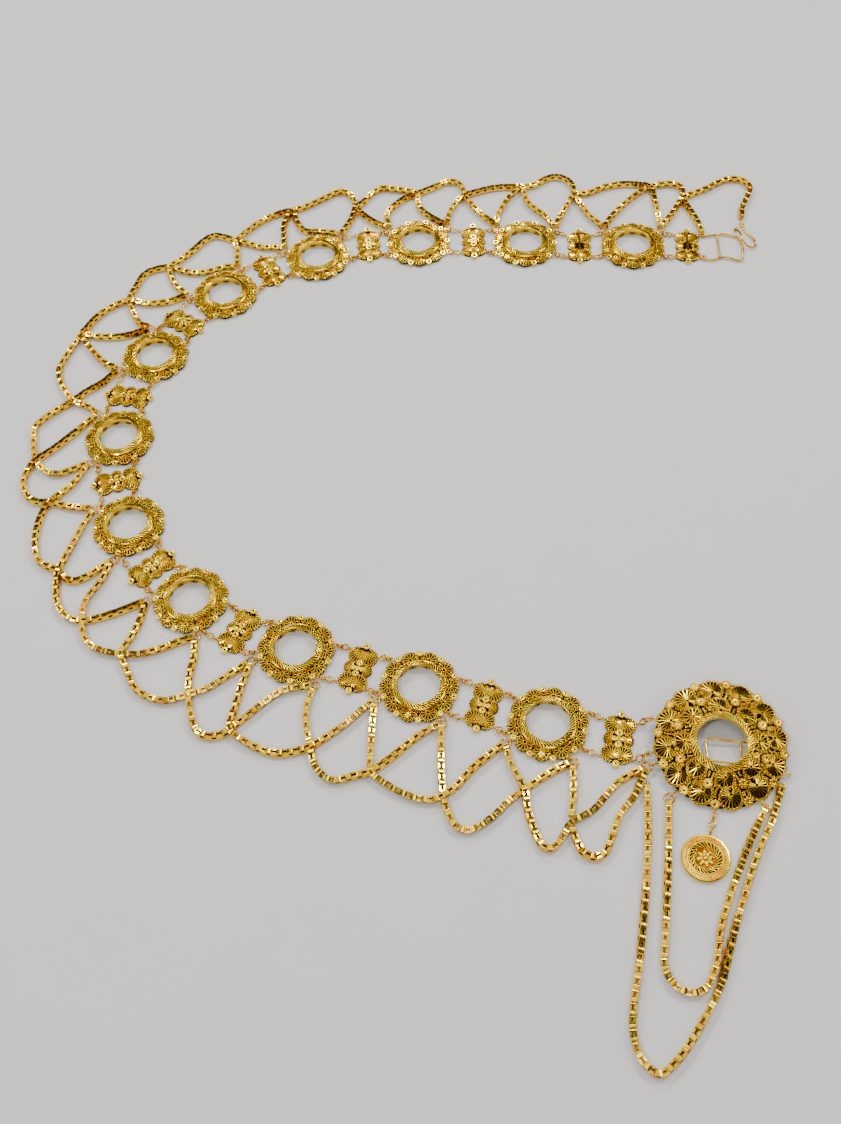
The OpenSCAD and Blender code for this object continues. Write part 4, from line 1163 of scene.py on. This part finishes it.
def chain_link(name):
    """A squarish band that opens sideways, about the origin, its length along X."""
    calm()
    bpy.ops.mesh.primitive_cube_add(size=MM)
    link = bpy.context.object
    link.name = name
    link.scale = (LINK_LONG, LINK_WIDE, LINK_TALL)
    bpy.ops.object.transform_apply(scale=True)
    mode("EDIT")
    ends = [v.co.y for v in link.data.vertices]
    select_where(link, "EDGE", lambda e: abs(ends[e.vertices[0]] - ends[e.vertices[1]]) > MM)
    bpy.ops.mesh.bevel(offset=LINK_BEVEL * MM, segments=2, profile=0.5)
    select_where(link, "FACE", lambda f: abs(f.normal.y) > 0.9)
    bpy.ops.mesh.delete(type="FACE")
    bpy.ops.mesh.select_mode(type="VERT")
    bpy.ops.mesh.select_all(action="SELECT")
    bpy.ops.mesh.bisect(plane_co=(0, 0, 0), plane_no=(0, 1, 0))
    bpy.ops.mesh.select_all(action="SELECT")
    bpy.ops.transform.resize(value=LINK_SQUASH, center_override=(0, 0, 0))
    mode("OBJECT")
    wall = link.modifiers.new("wall", "SOLIDIFY")
    wall.thickness = LINK_WALL * MM
    wall.offset = -1
    # painted shade: the inner faces take the near-black finish
    wall.material_offset = 1
    link.data.materials.append(chain_gold)
    link.data.materials.append(painted_shade_gold)
    bpy.ops.object.modifier_apply(modifier=wall.name)
    bpy.ops.object.shade_smooth_by_angle(angle=math.radians(62))
    return link


link_flat = chain_link("link_flat")
link_edge = copy_of(link_flat, "link_edge")
settle(link_edge, Matrix.Rotation(math.pi / 2, 4, "X"))
print("one link:", len(link_flat.data.polygons), "faces")


def arrayed(link, name, count, step, start):
    """A straight row of links along X."""
    row = copy_of(link, name)
    repeat = row.modifiers.new("repeat", "ARRAY")
    repeat.use_relative_offset = False
    repeat.use_constant_offset = True
    repeat.constant_offset_displace = (step * MM, 0, 0)
    repeat.count = count
    bpy.ops.object.modifier_apply(modifier=repeat.name)
    return settle(row, Matrix.Translation((start * MM, 0, 0)))


CHAIN_Z = 2.27
SWAY, SWAY_SPAN = 0.3, 13


def distances(points):
    """Distance travelled at each point."""
    out = [0.0]
    for p, q in zip(points, points[1:]):
        out.append(out[-1] + (q - p).length)
    return out


def chain_run(name, points, low, high, phase=0.0):
    """Links along a flat route from the distance low to high, as one object."""
    count = max(2, round((high - low) / PITCH_MM) + 1)
    pitch = (high - low) / (count - 1)
    row = joined(name, [
        arrayed(link_flat, "flat_row", (count + 1) // 2, 2 * pitch, low),
        arrayed(link_edge, "edge_row", count // 2, 2 * pitch, low + pitch)])
    path, spline = new_path([(*p, CHAIN_Z) for p in points])
    path.data.twist_mode = "Z_UP"
    for knot, travelled in zip(spline.points, distances(points)):
        knot.tilt = SWAY * math.sin(travelled / SWAY_SPAN + phase)
    bend = row.modifiers.new("bend", "CURVE")
    bend.object = path
    bend.deform_axis = "POS_X"
    pick(row)
    bpy.ops.object.modifier_apply(modifier=bend.name)
    remove(path)
    return row, count


# %% [markdown]
# The swags follow the routes of part.scad. A swag leaves one ring, crosses its
# neighbour, sags, crosses the one before and ends at a ring two places back. At a
# crossing the odd swag's links stop on both sides of the even one and reach into
# it, as linked chains do.

# %% Routes of the swags, read off the sheet in millimetres
CROSSING_AT = [
    (0, 0), (57, 195.5), (38, 212), (1, 212.5), (-31, 227), (-58, 242), (-96, 254),
    (-116, 274), (-150.5, 299), (-171, 319.5), (-185.5, 350), (-194, 394), (-204, 423),
    (-187, 463), (-186, 512), (-160, 537), (-137, 562), (-97, 580), (-63, 602), (-23, 601),
    (15.5, 609), (45, 604), (81, 607), (112, 597), (159, 598.5), (177, 586)]
SWAG_ROWS = [
    ([], [], []),
    ([(60, 209)],
     [(58, 187), (60, 181.5), (65, 178.5), (70, 180.5), (75, 189), (79, 197), (86.3, 205)],
     []),
    ([(33.4, 225)],
     [(38, 204), (40, 193), (43, 185.5), (48, 184.5), (53, 190)],
     [(67, 200), (74, 206.5), (81.8, 213)]),
    ([(2, 237), (1, 225)],
     [(2.5, 205), (5, 198.5), (10, 195.5), (16, 197), (24, 202), (31, 208)],
     [(46, 217), (54, 221)]),
    ([(-29.5, 250), (-30.5, 239)],
     [(-25, 221), (-18, 216), (-11, 212.5), (-4, 211)],
     [(8, 217), (15, 224), (23, 230)]),
    ([(-60, 262), (-60, 251)],
     [(-57, 234), (-53, 227), (-47, 224), (-39, 225.5)],
     [(-22, 232.5), (-14, 238.5), (-6, 244)]),
    ([(-91, 275), (-94, 264)],
     [(-89, 247), (-81, 242), (-73, 239.5), (-65, 240)],
     [(-49, 247), (-41, 252.5), (-34, 258.5)]),
    ([(-114, 294), (-116, 284)],
     [(-115, 264), (-112, 254.5), (-106, 251), (-100, 251.5)],
     [(-88, 260), (-80, 266.5), (-71, 272)]),
    ([(-142, 316), (-146, 307)],
     [(-147, 290), (-143, 280.5), (-136, 274.5), (-127, 271.5)],
     [(-107, 276.5), (-98, 282)]),
    ([(-163, 342), (-170, 331)],
     [(-169, 310), (-164, 304), (-158, 301)],
     [(-141, 298), (-131, 300), (-121, 303.5)]),
    ([(-175, 377), (-179, 367), (-183, 357)],
     [(-185.5, 341), (-184, 331), (-179, 323)],
     [(-162, 320.5), (-153, 323)]),
    ([(-182, 405.5), (-188, 399.5)],
     [(-197.5, 386), (-199, 377), (-199, 368), (-196, 357)],
     [(-181, 345), (-175, 343.5), (-167, 347.5)]),
    ([(-179.6, 444.6), (-186, 438.4), (-195, 430)],
     [(-208, 416), (-209.5, 408), (-207, 400), (-201, 395)],
     [(-186, 391), (-178, 389)]),
    ([(-171, 475), (-180, 469)],
     [(-195, 457.5), (-202, 452), (-207, 446), (-206.5, 435)],
     [(-198, 415), (-190.5, 412.5), (-183, 415)]),
    ([(-156.4, 510), (-165, 508.8), (-176, 510)],
     [(-191, 503), (-195, 494), (-197, 486), (-194.5, 476)],
     [(-180, 459)]),
    ([(-137, 533.5), (-149, 533.5)],
     [(-170, 533), (-178, 526), (-184, 517)],
     [(-180, 501), (-172, 490)]),
    ([(-103, 558.5), (-112, 556), (-121, 555.5), (-129, 558)],
     [(-146, 561), (-152, 557.5), (-156, 549)],
     [(-157, 527), (-153, 518)]),
    ([(-74, 572), (-82, 573), (-90, 577)],
     [(-104, 584), (-111, 586), (-117, 582), (-123, 575), (-130, 568)],
     [(-136, 554), (-132, 545)]),
    ([(-38, 580.5), (-47, 582.3), (-55, 584), (-59.5, 591.5)],
     [(-72, 600.5), (-80, 596.5), (-87, 591)],
     [(-96, 571)]),
    ([(-11, 586), (-17, 592)],
     [(-24, 609), (-28, 615), (-33, 616.5), (-40, 613), (-48, 608.5), (-56, 604.5)],
     [(-67.5, 590.5), (-67.5, 580)]),
    ([(24, 586), (18, 593), (15.5, 600)],
     [(8, 613), (1, 615), (-6, 616.5), (-13, 612), (-18, 605.5)],
     [(-26, 591)]),
    ([(55, 584), (49, 594)],
     [(44, 612), (40, 617), (34, 617.5), (27, 614)],
     [(8, 606), (1, 600), (-4, 593)]),
    ([(92, 580), (86, 588), (82, 596)],
     [(74, 608.5), (65, 609), (56, 607.5)],
     [(39, 598), (34, 589)]),
    ([(119, 577), (115, 587)],
     [(112, 605), (109, 611), (103, 614.5), (96, 613), (89, 608.5)],
     [(74, 602), (68, 593), (63, 583)]),
    ([(160, 575), (160, 587)],
     [(150, 602), (141, 603), (131, 601.5), (121, 597.5)],
     [(107, 589), (102, 580)]),
    ([(182, 566), (179.5, 576)],
     [(178.5, 594), (175, 599), (168, 600)],
     [(149, 592), (140, 584), (132, 575)]),
    ([(211, 574), (216, 583), (219.5, 591), (216, 598), (209, 600), (202, 598), (194, 593.5),
      (186, 590)],
     [],
     [(171, 577), (166, 570)])]
LAST_SWAG = 26
LINK_CLEAR = 1.15
LEAST_STAND_OFF, MOST_STAND_OFF = 1.5, 9
RING_REACH = DROP_RING_R + 0.9


def sheet_points(points):
    """Flat points of the sheet in the belt's frame."""
    return [Vector(p) - SHEET.xy for p in points]


def tip(centre, towards, reach):
    """Where a chain's first link stands, out from its ring."""
    return centre.xy + reach * (towards - centre.xy).normalized()


def swag_route(k):
    """The points of swag k from its first ring to its last, both tips included."""
    before, sag, after = (sheet_points(part) for part in SWAG_ROWS[k])
    first = sheet_points([CROSSING_AT[min(k, LAST_SWAG - 1)]])
    second = sheet_points([CROSSING_AT[k - 1]]) if 1 < k < LAST_SWAG else []
    middle = [*before, *first, *sag, *second, *after]
    if k == LAST_SWAG:
        start = HOOK_LINK_END.xy + 0.7 * Vector((0.2, 0.98))
    elif k == 25:
        start = tip(frame_eye_outer, middle[0], FRAME_EYE_R + 1.1)
    else:
        start = tip(ring_centre(k), middle[0], RING_REACH)
    end = tip(ring_centre(max(k - 2, 0)), middle[-1], RING_REACH)
    return [start, *middle, end]


def at_distance(points, run, s):
    """Place and direction at a distance along the points."""
    i = max(0, min(len(points) - 2, next((n for n, t in enumerate(run) if t > s), 10 ** 6) - 1))
    d = (points[i + 1] - points[i]).normalized()
    return points[i] + d * (s - run[i]), d


def gap_to(p, points):
    """Distance from a point to a route."""
    best = 1e9
    for a, b in zip(points, points[1:]):
        t = max(0, min(1, (p - a).dot(b - a) / max((b - a).length_squared, 1e-9)))
        best = min(best, (p - a - t * (b - a)).length)
    return best


def link_clear(points, run, s, other):
    """Whether a link centred at s keeps its corners off the other chain's middle."""
    p, d = at_distance(points, run, s)
    n = Vector((-d.y, d.x))
    return all(gap_to(p + d * along + n * across, other) > LINK_CLEAR
               for along in (-1.55, 0, 1.55) for across in (-1.15, 0, 1.15))


def stand_off(points, run, s, way, other):
    """How far from a crossing the cut chain's last link stands."""
    g = LEAST_STAND_OFF
    while g < MOST_STAND_OFF and not link_clear(points, run, s + way * g, other):
        g += 0.1
    return g


# %% Lay the swags
routes = {k: smooth(swag_route(k)) for k in range(1, LAST_SWAG + 1)}
total_links = 0


def crossing(k, parts):
    """Index of the crossing after some parts of swag k, on its smooth route."""
    return sum(len(part) + 1 for part in SWAG_ROWS[k][:parts]) * SAMPLES


for n in range(1, 14):
    k = 2 * n - 1
    odd, even = routes[k], routes[k + 1]
    run = distances(odd)
    runs, resume = [], 0
    for parts, other in ((1, even), (2, routes.get(k - 1))):
        if other:
            s = run[crossing(k, parts)]
            halt = s - stand_off(odd, run, s, -1, other)
            runs.append(chain_run("run", odd, resume, halt, k))
            resume = s + stand_off(odd, run, s, 1, other)
    runs.append(chain_run("run", odd, resume, run[-1], k))
    runs.append(chain_run("run", even, 0, distances(even)[-1], k + 1))
    made = joined(f"swags_{n:02d}_chain", [row for row, _ in runs])
    total_links += sum(count for _, count in runs)
    show(made, f"swags_{n:02d}")
print("swags laid,", total_links, "links")

# %% [markdown]
# Two festoons hang below the buckle, the longer one outside the other. Their
# routes come off the same sheet. The outer one hangs between two end links, the
# inner one between two drop rings.

# %% Festoons
FESTOON_OUTER = [
    (93, 203), (90.5, 190), (87.5, 175), (84.5, 162), (81.5, 150), (78.5, 138), (75, 125),
    (72, 115), (70.3, 105), (71, 97), (74, 91), (78.5, 88.3), (83, 90.5), (90, 96.5),
    (97, 104.5), (104, 113.5), (110, 123), (115, 134), (120, 145), (126, 156), (132, 167.5),
    (138, 178), (145, 189)]
FESTOON_INNER = [
    (99, 188), (96.5, 175), (94, 163), (91.5, 151), (89, 139), (87.5, 131), (88.5, 125),
    (92, 120.5), (97, 118.5), (102, 119.5), (106, 124), (110, 132), (113, 142), (117, 151),
    (121, 159), (126, 168), (131, 176.5), (136, 184.5)]
outer_points = sheet_points(FESTOON_OUTER)
inner_points = sheet_points(FESTOON_INNER)
first_way = (outer_points[1] - a0_ring.xy).normalized()
link_top = Vector((*(a0_ring.xy + 1.3 * first_way), 2.2))
link_foot = Vector((*(a0_ring.xy + 9.3 * first_way), 2.2))
last_way = (outer_points[-1] - RIGHT_LINK_END.xy).normalized()

outer_route = smooth([link_foot.xy + 0.6 * first_way, *outer_points[1:],
                      RIGHT_LINK_END.xy + 0.7 * last_way])
row, count = chain_run("run", outer_route, 0.3, distances(outer_route)[-1] - 0.3)
print("outer festoon:", count, "links")
dress("festoon_outer", "festoon_outer_chain", [row])

inner_route = smooth([tip(left_ring, inner_points[0], RING_REACH), *inner_points,
                      tip(right_ring, inner_points[-1], RIGHT_RING_R + 0.9)])
row, count = chain_run("run", inner_route, 0, distances(inner_route)[-1], 2)
print("inner festoon:", count, "links")
dress("festoon_inner", "festoon_inner_chain", [row])

dress("end_links", "end_links_long", [
    far_ring(link_top, link_foot, 1.0, (0, 0, 1), JOINT_WIRE),
    far_ring(far_right_staple, RIGHT_LINK_END, 1.3, (1, -1, 0), JOINT_WIRE),
    far_ring(HOOK_EYE, HOOK_LINK_END, 1.1, (0, 0, 1), JOINT_WIRE)])
remove(link_flat, link_edge)

# %% [markdown]
# The pendant is a coin with a turned border. A swirl of cut flutes runs round its
# field, as on the medallions' collars, and the field itself carries a plain
# rosette of eight petals. It hangs by a bail and one ring pair.

# %% Pendant
PENDANT_AT = Vector((108, -178.5, 0))
PENDANT_TURN = 69.5
PENDANT_R = 10.7


def pendant_disc():
    """The coin's turned body, with painted shade under its relief: near-black in the sunk ring,
    dark brown in the field, deeper gold under the beads.
    """
    return joined("pendant_disc", [
        lathed("pendant_disc", [
            (0, 0), (10.4, 0), (10.7, 0.3), (10.7, 1.9), (10.4, 2.2), (9.75, 2.25), (9.45, 1.7),
            (7.7, 1.6), (7.4, 2.1), (7.1, 2.1), (6.9, 1.5), (5.0, 1.1), (0, 1.1)], 72, stud_gold),
        # painted shade: darker sheets under the relief and the bead ring
        lathed("pendant_recess", [
            (4.9, 1), (4.9, 1.14), (6.88, 1.53), (6.88, 1), (4.9, 1)], 48, painted_shade_gold),
        lathed("pendant_field", [(0, 1), (4.88, 1), (4.88, 1.15), (0, 1.15)], 40, painted_shade_field),
        lathed("pendant_bead_track", [
            (7.75, 1.3), (7.75, 1.64), (9.42, 1.73), (9.42, 1.3), (7.75, 1.3)],
            48, rosette_gold)])


def pendant_beads():
    """A ring of small beads inside the rim."""
    piece = open_piece("pendant_beads")
    ball((8.6, 0, 1.8), (0.5, 0.5, 0.5))
    spin_copies(44)
    return close_piece(piece, stud_gold, 60)


def rosette():
    """Eight petals and a boss in the field."""
    piece = open_piece("rosette")
    ball((2.6, 0, 1.2), (1.75, 1.0, 0.8), 12, 8)
    spin_copies(8)
    ball((0, 0, 1.6), (1.3, 1.3, 0.91), 16, 8)
    return close_piece(piece, stud_gold, 60)


bail_at = polar(PENDANT_R + 1.7, PENDANT_TURN, 2)
bail = open_piece("bail")
loop(bail_at, 1.6, 0.4, 22, 8, upright(PENDANT_TURN))
bar(polar(PENDANT_R - 0.6, PENDANT_TURN, 1.2),
    polar(PENDANT_R + 0.5, PENDANT_TURN, 1.2), 0.6, 10)
close_piece(bail, ring_gold, 60)
coin = joined("pendant_coin", [
    pendant_disc(), pendant_beads(), rosette(), bail,
    flutes("pendant_flutes", 26, 4.9, 7.1, 1.8, 1.3, 22, 0.3)])
dress("pendant", "pendant_coin", [settle(coin, Matrix.Translation(PENDANT_AT * MM))])
dress("pendant_links", "pendant_links_pair", joint(
    PENDANT_AT + bail_at - Vector((0, 0, 0.2)), on_buckle(*BUCKLE_EYELETS["pendant"])))

# %% [markdown]
# Last, the scene is left in object mode with nothing selected.

# %% The end
calm()
